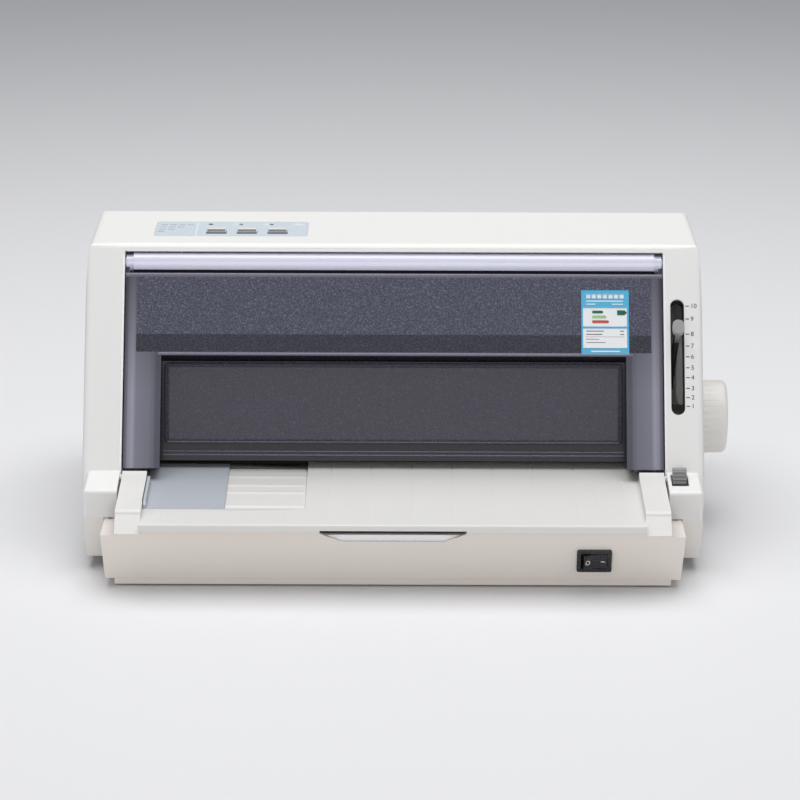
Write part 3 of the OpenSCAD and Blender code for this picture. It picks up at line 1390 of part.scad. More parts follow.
// Parallel and USB sockets on the main board's rear edge.
module data_sockets() {
    low = board_z + board_t + 0.1;
    face_y = back_y - 0.2;
    color(steel) difference() {
        block([parallel_x + parallel_box[0][0] + socket_gap, back_y - 26, low],
            [parallel_x + parallel_box[1][0] - socket_gap, face_y, parallel_box[1][1] - socket_gap]);
        block([parallel_x - 27, back_y - 20, 13], [parallel_x + 27, back_y + past, 20.5]);
    }
    color([0.15, 0.35, 0.7]) block([parallel_x - 24, back_y - 20.1, 15.4],
        [parallel_x + 24, back_y - 4, 18.2]);
    color(steel) difference() {
        block([usb_x + usb_box[0][0] + 0.3, back_y - 30, low],
            [usb_x + usb_box[1][0] - 0.3, face_y, usb_box[1][1] - socket_gap]);
        block([usb_x - 4.2, back_y - 12, 11.8], [usb_x + 4.2, back_y + past, 19]);
    }
}

in_frame() upper_case();
in_frame() lower_case();
in_frame() case_screws();
in_frame() rubber_feet();
in_frame() front_cover();
in_frame() cover_pads();
in_frame() paper_table();
in_frame() edge_guide();
in_frame() control_overlay();
in_frame() push_button(0);  // button_left
in_frame() push_button(1);  // button_middle
in_frame() push_button(2);  // button_right
in_frame() led_lenses();
in_frame() control_board();
in_frame() gap_lever();
in_frame() gap_shaft();
in_frame() lever_channel();
in_frame() release_lever();
in_frame() switch_bezel();
in_frame() rocker();
in_frame() {  // side_frame_left
    side_frame(-1);
    idler_studs();
}
in_frame() side_frame(1);  // side_frame_right
in_frame() {
    cross_rail();
    idler_post();
}
in_frame() platen_roller();
in_frame() platen_shaft();
in_frame() platen_gear();
in_frame() platen_bushes();
in_frame() platen_knob();
in_frame() feed_roller(feed_at);  // feed_roller_front
in_frame() feed_roller(rear_at);  // feed_roller_rear
in_frame() shaft_gear(feed_at, n_feed, feed_phase);  // feed_gear_front
in_frame() shaft_gear(rear_at, n_feed, rear_phase);  // feed_gear_rear
in_frame() pinch_rollers(pinch_front_at);  // pinch_rollers_front
in_frame() pinch_rollers(pinch_rear_at);  // pinch_rollers_rear
in_frame()  // idler_gear_front
    shaft_gear(idler_front_at, n_idler, idler_front_phase);
in_frame()  // idler_gear_rear
    shaft_gear(idler_rear_at, n_idler, idler_rear_phase);
in_frame()  // idler_gear_tractor
    shaft_gear(idler_tractor_at, n_tractor_idler, idler_tractor_phase);
in_frame() feed_motor();
in_frame() motor_pinion();
in_frame() paper_guide();
in_frame() rear_guide();
in_frame() print_head();
in_frame() carriage();
in_frame() guide_rod();
in_frame() belt_pulley(-pulley_x);  // drive_pulley
in_frame() belt_pulley(pulley_x);  // idler_pulley
in_frame() timing_belt();
in_frame() carriage_motor();
in_frame() {
    ribbon_cartridge();
    ribbon();
}
in_frame() ribbon_knob();
in_frame() {
    tractor_shaft();
    shaft_gear(tractor_at, n_tractor, tractor_phase);
}
in_frame() tractor_rod();
in_frame() tractor_body(-tractor_x);  // tractor_left
in_frame() tractor_body(tractor_x);  // tractor_right
in_frame() sprocket(-tractor_x);  // sprocket_left
in_frame() sprocket(tractor_x);  // sprocket_right
in_frame() rear_hatch();
in_frame() main_board();
in_frame() power_supply();
in_frame() power_inlet();
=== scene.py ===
"""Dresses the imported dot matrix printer: casings, cover, paper table, controls, mechanism, studio.

Lengths are metres in the frame of the solids. Places measured on the printer are given in millimetres
from the middle plane of its body and converted by ``at``.
"""

from __future__ import annotations

import json
import logging
import math
from dataclasses import dataclass
from enum import Enum
from typing import Callable

import bpy
from mathutils import Matrix, Vector

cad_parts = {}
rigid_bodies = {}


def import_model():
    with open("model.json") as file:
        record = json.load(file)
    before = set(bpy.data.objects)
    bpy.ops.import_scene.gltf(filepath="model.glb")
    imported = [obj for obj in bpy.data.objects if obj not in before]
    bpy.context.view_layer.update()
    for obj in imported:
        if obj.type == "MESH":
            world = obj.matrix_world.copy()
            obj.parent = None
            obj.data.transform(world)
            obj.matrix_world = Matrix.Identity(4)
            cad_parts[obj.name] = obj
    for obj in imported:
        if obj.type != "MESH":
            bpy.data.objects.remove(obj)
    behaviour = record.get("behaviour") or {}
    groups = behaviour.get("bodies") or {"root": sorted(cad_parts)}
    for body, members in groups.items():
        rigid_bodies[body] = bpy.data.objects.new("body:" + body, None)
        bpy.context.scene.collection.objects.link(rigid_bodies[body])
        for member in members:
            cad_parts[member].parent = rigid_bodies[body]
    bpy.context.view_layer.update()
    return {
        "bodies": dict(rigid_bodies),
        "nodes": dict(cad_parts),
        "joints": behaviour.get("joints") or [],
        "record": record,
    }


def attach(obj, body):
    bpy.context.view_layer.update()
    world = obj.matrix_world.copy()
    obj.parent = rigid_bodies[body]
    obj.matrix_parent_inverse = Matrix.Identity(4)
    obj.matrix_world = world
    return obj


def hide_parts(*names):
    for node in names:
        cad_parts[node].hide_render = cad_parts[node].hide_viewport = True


LOG = logging.getLogger("printer")

# Short names for types: a scene object, two or three numbers, and what tests an edge or paints a face.
Piece = bpy.types.Object
Pair = tuple[float, float]
Triple = tuple[float, float, float]
Test = Callable[[Vector, Vector], bool]
Pick = Callable[[Vector, Vector], str | None]

MM = 0.001

# The printer's places, in millimetres: its middle plane, its datum, and the leaning front face.
BODY_MIDDLE_X = -0.011
STAND = 2.0
LEAN = math.radians(26.57)
LEAN_COS, LEAN_SIN = math.cos(LEAN), math.sin(LEAN)
FACE_FOOT = (-72.5, 55.0)
HALF_BAY = 167.25
CASE_TOP = 182.0
TOP_ROUND = 4.0
FACE_TOP = (CASE_TOP - TOP_ROUND - FACE_FOOT[1]) / LEAN_COS
BARREL_DROP = 5.8
BARREL_RADIUS = 6.0
PANEL_TOP = FACE_TOP - 14.2

# The recessed panel, from under the cover's ledge down to its foot.
LEDGE = 71.0
LEDGE_DROP = 2.0
RECESS_DEPTH = 8.0
RECESS_FOOT = (-50.0, 53.5)
RECESS_TOP = (
    FACE_FOOT[0] + (LEDGE - LEDGE_DROP) * LEAN_SIN + RECESS_DEPTH * LEAN_COS,
    FACE_FOOT[1] + (LEDGE - LEDGE_DROP) * LEAN_COS - RECESS_DEPTH * LEAN_SIN,
)
RECESS_TILT = math.atan2(RECESS_FOOT[0] - RECESS_TOP[0], RECESS_TOP[1] - RECESS_FOOT[1])
RECESS_LENGTH = math.hypot(RECESS_FOOT[0] - RECESS_TOP[0], RECESS_TOP[1] - RECESS_FOOT[1])

# Rotations that lay a flat piece on the face and on the recessed panel.
FACE_TURN = Matrix.Rotation(math.pi / 2 - LEAN, 4, "X")
RECESS_TURN = Matrix.Rotation(math.pi / 2 + RECESS_TILT, 4, "X")

# Painted highlight and painted shade along the cover's legs, from their inner to their outer edge, and how the
# painted shade grows toward their top.
LEG_SPAN = (0.1465, 0.1665)
LEG_LIGHT_AND_SHADE = (
    (0.0, 0.26), (0.1, 0.42), (0.25, 0.52), (0.6, 0.6), (0.74, 0.95), (0.85, 0.8), (0.93, 0.4), (1.0, 0.2),
)
LEG_FADE = (0.165, 0.1, 0.34, 1.0)
LEG_SHADE = (0.012, 0.011, 0.018, 1.0)
DUST_TONE = (0.55, 0.53, 0.5, 1.0)

# Lengths in metres and angles in radians that the mesh edits keep to.
MERGE = 0.000004
SAME_PLANE = math.radians(0.4)
SMOOTH_BELOW = math.radians(32)


def at(x: float, y: float, z: float) -> Vector:
    """Converts a place on the printer to the frame of the solids.

    Args:
        x: Millimetres to the right of the body's middle plane.
        y: Millimetres behind the middle of the printer.
        z: Millimetres above the datum of the base, which stands a little over the desk.

    Returns:
        The place in metres.
    """
    return Vector((x * MM + BODY_MIDDLE_X, y * MM, (z + STAND) * MM))


def on_face(x: float, s: float, d: float = 0.0) -> Vector:
    """Finds a place on the leaning front face.

    Args:
        x: Millimetres to the right of the middle plane.
        s: Millimetres up the face from its foot.
        d: Millimetres behind the face.

    Returns:
        The place in metres.
    """
    y = FACE_FOOT[0] + s * LEAN_SIN + d * LEAN_COS
    z = FACE_FOOT[1] + s * LEAN_COS - d * LEAN_SIN
    return at(x, y, z)


def face_height(z: float) -> float:
    """Returns the distance up the face, in millimetres, of a height above the datum."""
    return (z - FACE_FOOT[1]) / LEAN_COS


def face_place(spot: Vector) -> Triple:
    """Finds where a point lies on the leaning front face.

    Args:
        spot: The point, in metres.

    Returns:
        Millimetres right of the middle plane, up the face and behind it.
    """
    y = spot.y / MM - FACE_FOOT[0]
    z = spot.z / MM - STAND - FACE_FOOT[1]
    return (
        (spot.x - BODY_MIDDLE_X) / MM,
        y * LEAN_SIN + z * LEAN_COS,
        y * LEAN_COS - z * LEAN_SIN,
    )


def recess_place(x: float, share: float, lift: float = 0.0) -> Vector:
    """Finds a place on the cover's recessed panel.

    Args:
        x: Millimetres right of the middle plane.
        share: How far down the panel, from 0 at its top to 1 at its foot.
        lift: Millimetres in front of the panel.

    Returns:
        The place in metres.
    """
    y = RECESS_TOP[0] + (RECESS_FOOT[0] - RECESS_TOP[0]) * share - lift * math.cos(RECESS_TILT)
    z = RECESS_TOP[1] + (RECESS_FOOT[1] - RECESS_TOP[1]) * share - lift * math.sin(RECESS_TILT)
    return at(x, y, z)


# ---------------------------------------------------------------- shader groups


class Wiring:
    """Adds nodes to one shader tree, each with its fixed values and the links that feed it."""

    def __init__(self, tree: bpy.types.NodeTree) -> None:
        """Keeps the tree that the nodes go into."""
        self.tree = tree

    def feed(self, node: bpy.types.Node, feeds: dict) -> None:
        """Sets or links a node's inputs.

        Args:
            node: The node.
            feeds: For an input, by its name or number, a fixed value or the output that feeds it.
        """
        for socket, value in feeds.items():
            if isinstance(value, bpy.types.NodeSocket):
                self.tree.links.new(value, node.inputs[socket])
            else:
                node.inputs[socket].default_value = value

    def add(self, kind: str, feeds: dict | None = None, **fields: object) -> bpy.types.Node:
        """Adds a node.

        Args:
            kind: Type of the node, without its leading ShaderNode.
            feeds: What its inputs get.
            fields: Settings of the node itself.

        Returns:
            The node.
        """
        node = self.tree.nodes.new(f"ShaderNode{kind}")
        for field, value in fields.items():
            setattr(node, field, value)
        self.feed(node, feeds or {})
        return node

    def group(self, tree: bpy.types.NodeTree, **feeds: object) -> bpy.types.bpy_prop_collection:
        """Adds a shared group, feeds its inputs and returns its outputs by name."""
        node = self.add("Group", node_tree=tree)
        self.feed(node, feeds)
        return node.outputs

    def noise(self, place: object, scale: object, detail: float = 2.0, rough: object = 0.5) -> object:
        """Adds a noise texture and returns the noise as a number."""
        feeds = {"Vector": place, "Scale": scale, "Detail": detail, "Roughness": rough}
        return self.add("TexNoise", feeds).outputs["Fac"]

    def spread(self, value: object, low: float, high: float, first: float = 0.0, last: float = 1.0) -> object:
        """Maps a value from the range low to high onto the range first to last."""
        feeds = {"Value": value, "From Min": low, "From Max": high, "To Min": first, "To Max": last}
        return self.add("MapRange", feeds).outputs["Result"]

    def math(self, operation: str, first: object, second: object = None, clamp: bool = False) -> object:
        """Adds a sum of one or two numbers, which can be kept between 0 and 1, and returns its result."""
        feeds = {0: first} if second is None else {0: first, 1: second}
        return self.add("Math", feeds, operation=operation, use_clamp=clamp).outputs[0]

    def mix(self, share: object, first: object, second: object) -> object:
        """Mixes two colours by the share of the second."""
        return self.add("Mix", {"Factor": share, 6: first, 7: second}, data_type="RGBA").outputs[2]

    def close(self, **results: object) -> bpy.types.NodeTree:
        """Feeds the outputs of a group's tree and returns the tree."""
        self.feed(self.tree.nodes.new("NodeGroupOutput"), results)
        return self.tree


class Groups:
    """Shader node groups that several finishes share."""

    def __init__(self) -> None:
        """Builds every group once."""
        self.grain = self._grain()
        self.drift = self._drift()
        self.dust = self._dust()
        self.scuffs = self._scuffs()
        self.rim = self._leg_light()

    @staticmethod
    def _start(name: str, inputs: dict[str, object], *outputs: str) -> tuple[Wiring, object, object]:
        """Makes an empty group with named sockets.

        Args:
            name: Name of the group.
            inputs: Socket names with their default, a number or a colour.
            outputs: Socket names. The one called Colour carries a colour, the others a number.

        Returns:
            The group's wiring, its inputs by name, and the object coordinates.
        """
        tree = bpy.data.node_groups.new(name, "ShaderNodeTree")
        for label, default in inputs.items():
            kind = "NodeSocketColor" if isinstance(default, tuple) else "NodeSocketFloat"
            tree.interface.new_socket(label, in_out="INPUT", socket_type=kind).default_value = default
        for label in outputs:
            kind = "NodeSocketColor" if label == "Colour" else "NodeSocketFloat"
            tree.interface.new_socket(label, in_out="OUTPUT", socket_type=kind)
        wires = Wiring(tree)
        return wires, tree.nodes.new("NodeGroupInput").outputs, wires.add("TexCoord").outputs["Object"]

    def _grain(self) -> bpy.types.NodeTree:
        """Builds the moulded grain: a fine pebble height, its hollows and its light peaks."""
        wires, given, place = self._start(
            "moulded_grain", {"Scale": 1500.0, "Softness": 0.5}, "Height", "Hollows", "Specks"
        )
        pebble = wires.noise(place, given["Scale"], 2.0, given["Softness"])
        hollows, peaks = wires.spread(pebble, 0.35, 0.65), wires.spread(pebble, 0.52, 0.68)
        return wires.close(Height=pebble, Hollows=hollows, Specks=peaks)

    def _drift(self) -> bpy.types.NodeTree:
        """Builds the slow drift of tone over large mouldings."""
        colours = {"Colour": (0.8, 0.8, 0.8, 1.0), "Second": (0.7, 0.7, 0.7, 1.0)}
        wires, given, place = self._start("tone_drift", {**colours, "Scale": 6.0, "Amount": 0.3}, "Colour")
        share = wires.math("MULTIPLY", wires.noise(place, given["Scale"], 3.0), given["Amount"])
        return wires.close(Colour=wires.mix(share, given["Colour"], given["Second"]))

    def _dust(self) -> bpy.types.NodeTree:
        """Builds the faint dust that settles on faces that look up."""
        wires, given, place = self._start("settled_dust", {"Scale": 220.0, "Amount": 0.1}, "Mask")
        specks = wires.noise(place, given["Scale"], 4.0)
        upward = wires.add("SeparateXYZ", {"Vector": wires.add("NewGeometry").outputs["Normal"]}).outputs["Z"]
        settled = wires.math("MULTIPLY", specks, wires.spread(upward, 0.3, 1.0))
        return wires.close(Mask=wires.math("MULTIPLY", settled, given["Amount"]))

    def _scuffs(self) -> bpy.types.NodeTree:
        """Builds the fine hairline scuffs and hand marks of a used surface."""
        wires, given, place = self._start("hand_scuffs", {"Scale": 90.0, "Amount": 0.1}, "Mask")
        drawn = wires.add("Mapping", {"Vector": place, "Rotation": (0.3, 0.2, 0.9), "Scale": (1.0, 14.0, 9.0)})
        hairs = wires.spread(wires.noise(drawn.outputs["Vector"], given["Scale"], 4.0), 0.6, 0.72)
        marks = wires.math("MULTIPLY", hairs, wires.noise(place, 14.0))
        return wires.close(Mask=wires.math("MULTIPLY", marks, given["Amount"]))

    def _leg_light(self) -> bpy.types.NodeTree:
        """Builds the painted highlight and painted shade lines along the cover's tinted legs, with more painted
        shade toward their top.
        """
        wires, given, place = self._start("leg_painted_light", {"Middle": 0.0}, "Mask")
        axes = wires.add("SeparateXYZ", {"Vector": place}).outputs
        away = wires.math("ABSOLUTE", wires.math("SUBTRACT", axes["X"], given["Middle"]))
        lines = wires.add("ValToRGB", {"Fac": wires.spread(away, *LEG_SPAN)})
        ramp = lines.color_ramp
        ramp.interpolation = "EASE"
        for spot, tone in LEG_LIGHT_AND_SHADE[:-1]:
            ramp.elements.new(spot).color = (tone, tone, tone, 1.0)
        ramp.elements.remove(ramp.elements[0])
        ramp.elements[len(ramp.elements) - 1].color = (*[LEG_LIGHT_AND_SHADE[-1][1]] * 3, 1.0)
        rise = wires.spread(axes["Z"], *LEG_FADE)
        return wires.close(Mask=wires.math("MULTIPLY", lines.outputs["Color"], rise))


# ---------------------------------------------------------------- finishes


def new_material(name: str) -> tuple[bpy.types.Material, Wiring, bpy.types.Node]:
    """Makes a material, and returns it with the wiring of its tree and its shader."""
    material = bpy.data.materials.new(name)
    material.use_nodes = True
    return material, Wiring(material.node_tree), material.node_tree.nodes["Principled BSDF"]


class Sheen(Enum):
    """How a surface throws back light: roughness and the strength of its clear top layer."""

    DULL = (0.62, 0.0)
    SATIN = (0.42, 0.05)
    SMOOTH = (0.28, 0.2)
    GLOSSY = (0.14, 0.6)


@dataclass(frozen=True)
class Plastic:
    """A moulded plastic with grain, tone drift and settled dust.

    Attributes:
        name: Name of the material.
        colour: Main colour, linear.
        second: Colour it drifts to, linear.
        sheen: Gloss of the surface.
        grain: Scale of the moulded grain.
        relief: Height of the grain, in metres.
        drift: Share of the second colour.
        dust: Share of the dust on upward faces.
        scuff: Strength of hairline scuffs in the gloss.
        speckle: Share of light specks on the grain's peaks.
        shine: Strength of the plain reflection.
        lined: Whether the painted highlight and painted shade lines of the cover's legs run over it.
    """

    name: str
    colour: Triple
    second: Triple
    sheen: Sheen = Sheen.SATIN
    grain: float = 1500.0
    relief: float = 0.00003
    drift: float = 0.5
    dust: float = 0.1
    scuff: float = 0.25
    speckle: float = 0.0
    shine: float = 0.5
    lined: bool = False

    def build(self, groups: Groups) -> bpy.types.Material:
        """Makes the material.

        Args:
            groups: The shared shader groups.

        Returns:
            The material.
        """
        material, wires, shader = new_material(self.name)
        rough, coat = self.sheen.value
        grain = wires.group(groups.grain, Scale=self.grain)
        colours = {"Colour": (*self.colour, 1.0), "Second": (*self.second, 1.0)}
        tone = wires.group(groups.drift, **colours, Amount=self.drift)["Colour"]
        # Painted highlight and painted shade lines along the cover's legs.
        if self.lined:
            lines = wires.group(groups.rim, Middle=BODY_MIDDLE_X)["Mask"]
            tone = wires.mix(lines, LEG_SHADE, tone)
        peaks = (*[min(1.0, c * 3.2 + 0.03) for c in self.colour], 1.0)
        tone = wires.mix(wires.math("MULTIPLY", grain["Specks"], self.speckle), tone, peaks)
        tone = wires.mix(wires.group(groups.dust, Amount=self.dust)["Mask"], tone, DUST_TONE)
        wear = wires.spread(grain["Hollows"], 0.0, 1.0, rough * 0.92, min(1.0, rough * 1.12))
        scuffs = wires.group(groups.scuffs, Amount=self.scuff)["Mask"]
        bump = wires.add("Bump", {"Strength": 1.0, "Distance": self.relief, "Height": grain["Height"]})
        gloss = {"Specular IOR Level": self.shine, "Coat Weight": coat, "Coat Roughness": rough * 0.5}
        roughness = wires.math("ADD", wear, scuffs, clamp=True)
        relief = bump.outputs["Normal"]
        wires.feed(shader, {"Base Color": tone, "Roughness": roughness, "Normal": relief, **gloss})
        return material


@dataclass(frozen=True)
class Metal:
    """A metal with fine tooling marks along X.

    Attributes:
        name: Name of the material.
        colour: Reflection colour, linear.
        rough: Roughness.
        marks: Scale of the tooling marks.
        relief: Height of the marks, in metres.
    """

    name: str
    colour: Triple
    rough: float = 0.3
    marks: float = 900.0
    relief: float = 0.00001

    def build(self, groups: Groups) -> bpy.types.Material:
        """Makes the material.

        Args:
            groups: The shared shader groups.

        Returns:
            The material.
        """
        material, wires, shader = new_material(self.name)
        place = wires.add("TexCoord").outputs["Object"]
        drawn = wires.add("Mapping", {"Vector": place, "Scale": (0.04, 1.0, 1.0)})
        tooling = wires.noise(drawn.outputs["Vector"], self.marks, 3.0)
        worn = (*[c * 0.78 for c in self.colour], 1.0)
        tone = wires.group(groups.drift, Colour=(*self.colour, 1.0), Second=worn, Scale=30.0)["Colour"]
        polish = wires.spread(tooling, 0.0, 1.0, self.rough * 0.75, self.rough * 1.3)
        bump = wires.add("Bump", {"Distance": self.relief, "Height": tooling}).outputs["Normal"]
        wires.feed(shader, {"Metallic": 1.0, "Base Color": tone, "Roughness": polish, "Normal": bump})
        return material


class Finishes:
    """Every finish on the printer, built once."""

    def __init__(self, groups: Groups) -> None:
        """Builds the finishes.

        Args:
            groups: The shared shader groups.
        """
        smoke = (700.0, 0.000004, 0.4)
        grained = (Sheen.SMOOTH, 1100.0)
        fine = (Sheen.SATIN, 1400.0)
        film = (Sheen.SMOOTH, 1800.0, 0.00001)
        label = (Sheen.SMOOTH, 1600.0, 0.00001, 0.6, 0.0)
        plans = [
            Plastic("white_case", (0.83, 0.822, 0.805), (0.78, 0.77, 0.75), relief=0.00002, dust=0.04),
            # Brighter white for the strips along the pillars' inner edges: a painted highlight.
            Plastic("edge_highlight_white", (0.93, 0.93, 0.93), (0.9, 0.9, 0.9), Sheen.SMOOTH, relief=0.00001, dust=0.0),
            Plastic("table_white", (0.745, 0.735, 0.715), (0.7, 0.69, 0.672), relief=0.00002, dust=0.03),
            Plastic("base_white", (0.83, 0.765, 0.705), (0.79, 0.735, 0.68), dust=0.03),
            Plastic("foot_white", (0.82, 0.795, 0.755), (0.78, 0.755, 0.72), dust=0.03),
            # Pale grey of the finger scoop, raised by painted light against the shade under the table's lip.
            Plastic(
                "scoop_grey", (0.96, 0.95, 0.97), (0.92, 0.91, 0.94), Sheen.SMOOTH, relief=0.00001, dust=0.0
            ),
            Plastic("knob_white", (0.82, 0.795, 0.75), (0.78, 0.755, 0.71), dust=0.02),
            # Glossy tint of the cover, carrying the painted highlight and shade lines of its legs.
            Plastic(
                "smoke_gloss", (0.36, 0.357, 0.43), (0.26, 0.257, 0.325), Sheen.GLOSSY, 700.0, 0.000004,
                dust=0.02, lined=True,
            ),
            # The barrel's light tone is a painted reflection on the same tinted plastic.
            Plastic("smoke_barrel", (0.74, 0.74, 0.87), (0.68, 0.68, 0.82), Sheen.GLOSSY, *smoke, 0.02),
            Plastic(
                "smoke_grain", (0.068, 0.07, 0.1), (0.06, 0.062, 0.089), *grained, 0.00006, 0.5, 0.02,
                speckle=0.55,
            ),
            Plastic(
                "smoke_band", (0.034, 0.034, 0.047), (0.029, 0.029, 0.041), *grained, 0.00003, 0.4, 0.02,
                speckle=0.35,
            ),
            Plastic(
                "smoke_panel", (0.026, 0.024, 0.042), (0.022, 0.021, 0.038), *grained, 0.00006, 0.5, 0.01,
                speckle=0.5, shine=0.27,
            ),
            Plastic(
                "smoke_strip", (0.016, 0.014, 0.022), (0.013, 0.012, 0.019), Sheen.SMOOTH, *smoke, 0.01,
                shine=0.18,
            ),
            # Near black in the groove under the barrel: a painted shadow.
            Plastic(
                "smoke_dark", (0.004, 0.003, 0.009), (0.006, 0.005, 0.011), Sheen.SATIN, *smoke, 0.0,
                shine=0.1,
            ),
            # Painted highlight on the rails, the window's foot, the ledge and the ridge under the field.
            Plastic("smoke_light", (0.15, 0.147, 0.2), (0.125, 0.122, 0.17), Sheen.SMOOTH, *smoke, 0.01),
            # Brighter painted highlight on the rails' raised tops.
            Plastic("smoke_edge", (0.5, 0.49, 0.62), (0.44, 0.43, 0.55), Sheen.SMOOTH, *smoke, 0.0),
            Plastic("stem_grey", (0.05, 0.05, 0.052), (0.04, 0.04, 0.042), *fine, 0.00002, dust=0.0),
            Plastic("guide_grey", (0.46, 0.49, 0.535), (0.41, 0.44, 0.48), *fine, dust=0.04),
            Plastic("lever_grey", (0.28, 0.28, 0.285), (0.23, 0.23, 0.235), *fine, dust=0.02),
            Plastic("button_grey", (0.78, 0.78, 0.78), (0.72, 0.72, 0.72), *fine, 0.00002, dust=0.02),
            # Darker grey for the buttons' front faces: painted shade.
            Plastic("button_front", (0.24, 0.24, 0.245), (0.21, 0.21, 0.215), *fine, 0.00002, dust=0.0),
            Plastic("film_blue", (0.66, 0.735, 0.79), (0.61, 0.69, 0.75), *film, dust=0.02),
            Plastic("film_line", (0.86, 0.89, 0.92), (0.8, 0.83, 0.87), *film, dust=0.0),
            Plastic("print_grey", (0.03, 0.032, 0.036), (0.025, 0.027, 0.03), Sheen.SATIN, *film[1:], 0.4, 0.0),
            Plastic("print_white", (0.86, 0.87, 0.88), (0.8, 0.82, 0.84), *film, 0.4, 0.0),
            Plastic(
                "switch_black", (0.01, 0.01, 0.012), (0.015, 0.015, 0.017),
                Sheen.SMOOTH, 1400.0, 0.00002, dust=0.05,
            ),
            Plastic("inner_black", (0.02, 0.02, 0.022), (0.03, 0.03, 0.032), *fine, 0.00004, dust=0.08),
            Plastic("slot_black", (0.008, 0.008, 0.009), (0.014, 0.014, 0.016), *fine, 0.00002, dust=0.0),
            Plastic(
                "lamp_lens", (0.05, 0.06, 0.055), (0.04, 0.05, 0.045),
                Sheen.GLOSSY, 900.0, 0.000005, 0.4, 0.0,
            ),
            Plastic("foam_grey", (0.12, 0.12, 0.14), (0.08, 0.08, 0.1), Sheen.DULL, 420.0, 0.0005, 0.7, 0.0),
            Plastic(
                "rubber_black", (0.025, 0.025, 0.027), (0.035, 0.035, 0.037),
                Sheen.DULL, 2200.0, 0.00005, 0.6, 0.12,
            ),
            Plastic(
                "acetal_cream", (0.78, 0.74, 0.62), (0.7, 0.66, 0.55),
                Sheen.SATIN, 1200.0, 0.00002, dust=0.04,
            ),
            Plastic(
                "acetal_white", (0.75, 0.75, 0.74), (0.68, 0.68, 0.67),
                Sheen.SATIN, 1200.0, 0.00002, dust=0.04,
            ),
            Plastic("board_green", (0.02, 0.12, 0.05), (0.03, 0.17, 0.07), Sheen.SMOOTH, 500.0, drift=1.0),
            Plastic("sticker_blue", (0.09, 0.44, 0.68), (0.12, 0.5, 0.73), *label),
            Plastic("sticker_green", (0.02, 0.13, 0.07), (0.03, 0.15, 0.08), *label),
            Plastic("sticker_lime", (0.36, 0.6, 0.28), (0.32, 0.55, 0.25), *label),
            Plastic("sticker_red", (0.55, 0.1, 0.07), (0.5, 0.09, 0.06), *label),
            Plastic("floor_paper", (0.8, 0.8, 0.81), (0.77, 0.77, 0.78), Sheen.DULL, 300.0, 0.00002, 0.4, 0.0),
            Metal("sheet_steel", (0.56, 0.57, 0.58), 0.34),
            Metal("ground_steel", (0.66, 0.67, 0.68), 0.18),
            Metal("brass", (0.72, 0.52, 0.22), 0.25),
            Metal("motor_can", (0.07, 0.07, 0.075), 0.42),
            Metal("cast_alloy", (0.5, 0.51, 0.52), 0.4, 300.0, 0.00005),
        ]
        self._made = {plan.name: plan.build(groups) for plan in plans}

    def __getitem__(self, name: str) -> bpy.types.Material:
        """Returns the material of a finish by its name."""
        return self._made[name]


# ---------------------------------------------------------------- workbench


def link(piece: Piece) -> None:
    """Puts a new object into the scene."""
    bpy.context.scene.collection.objects.link(piece)


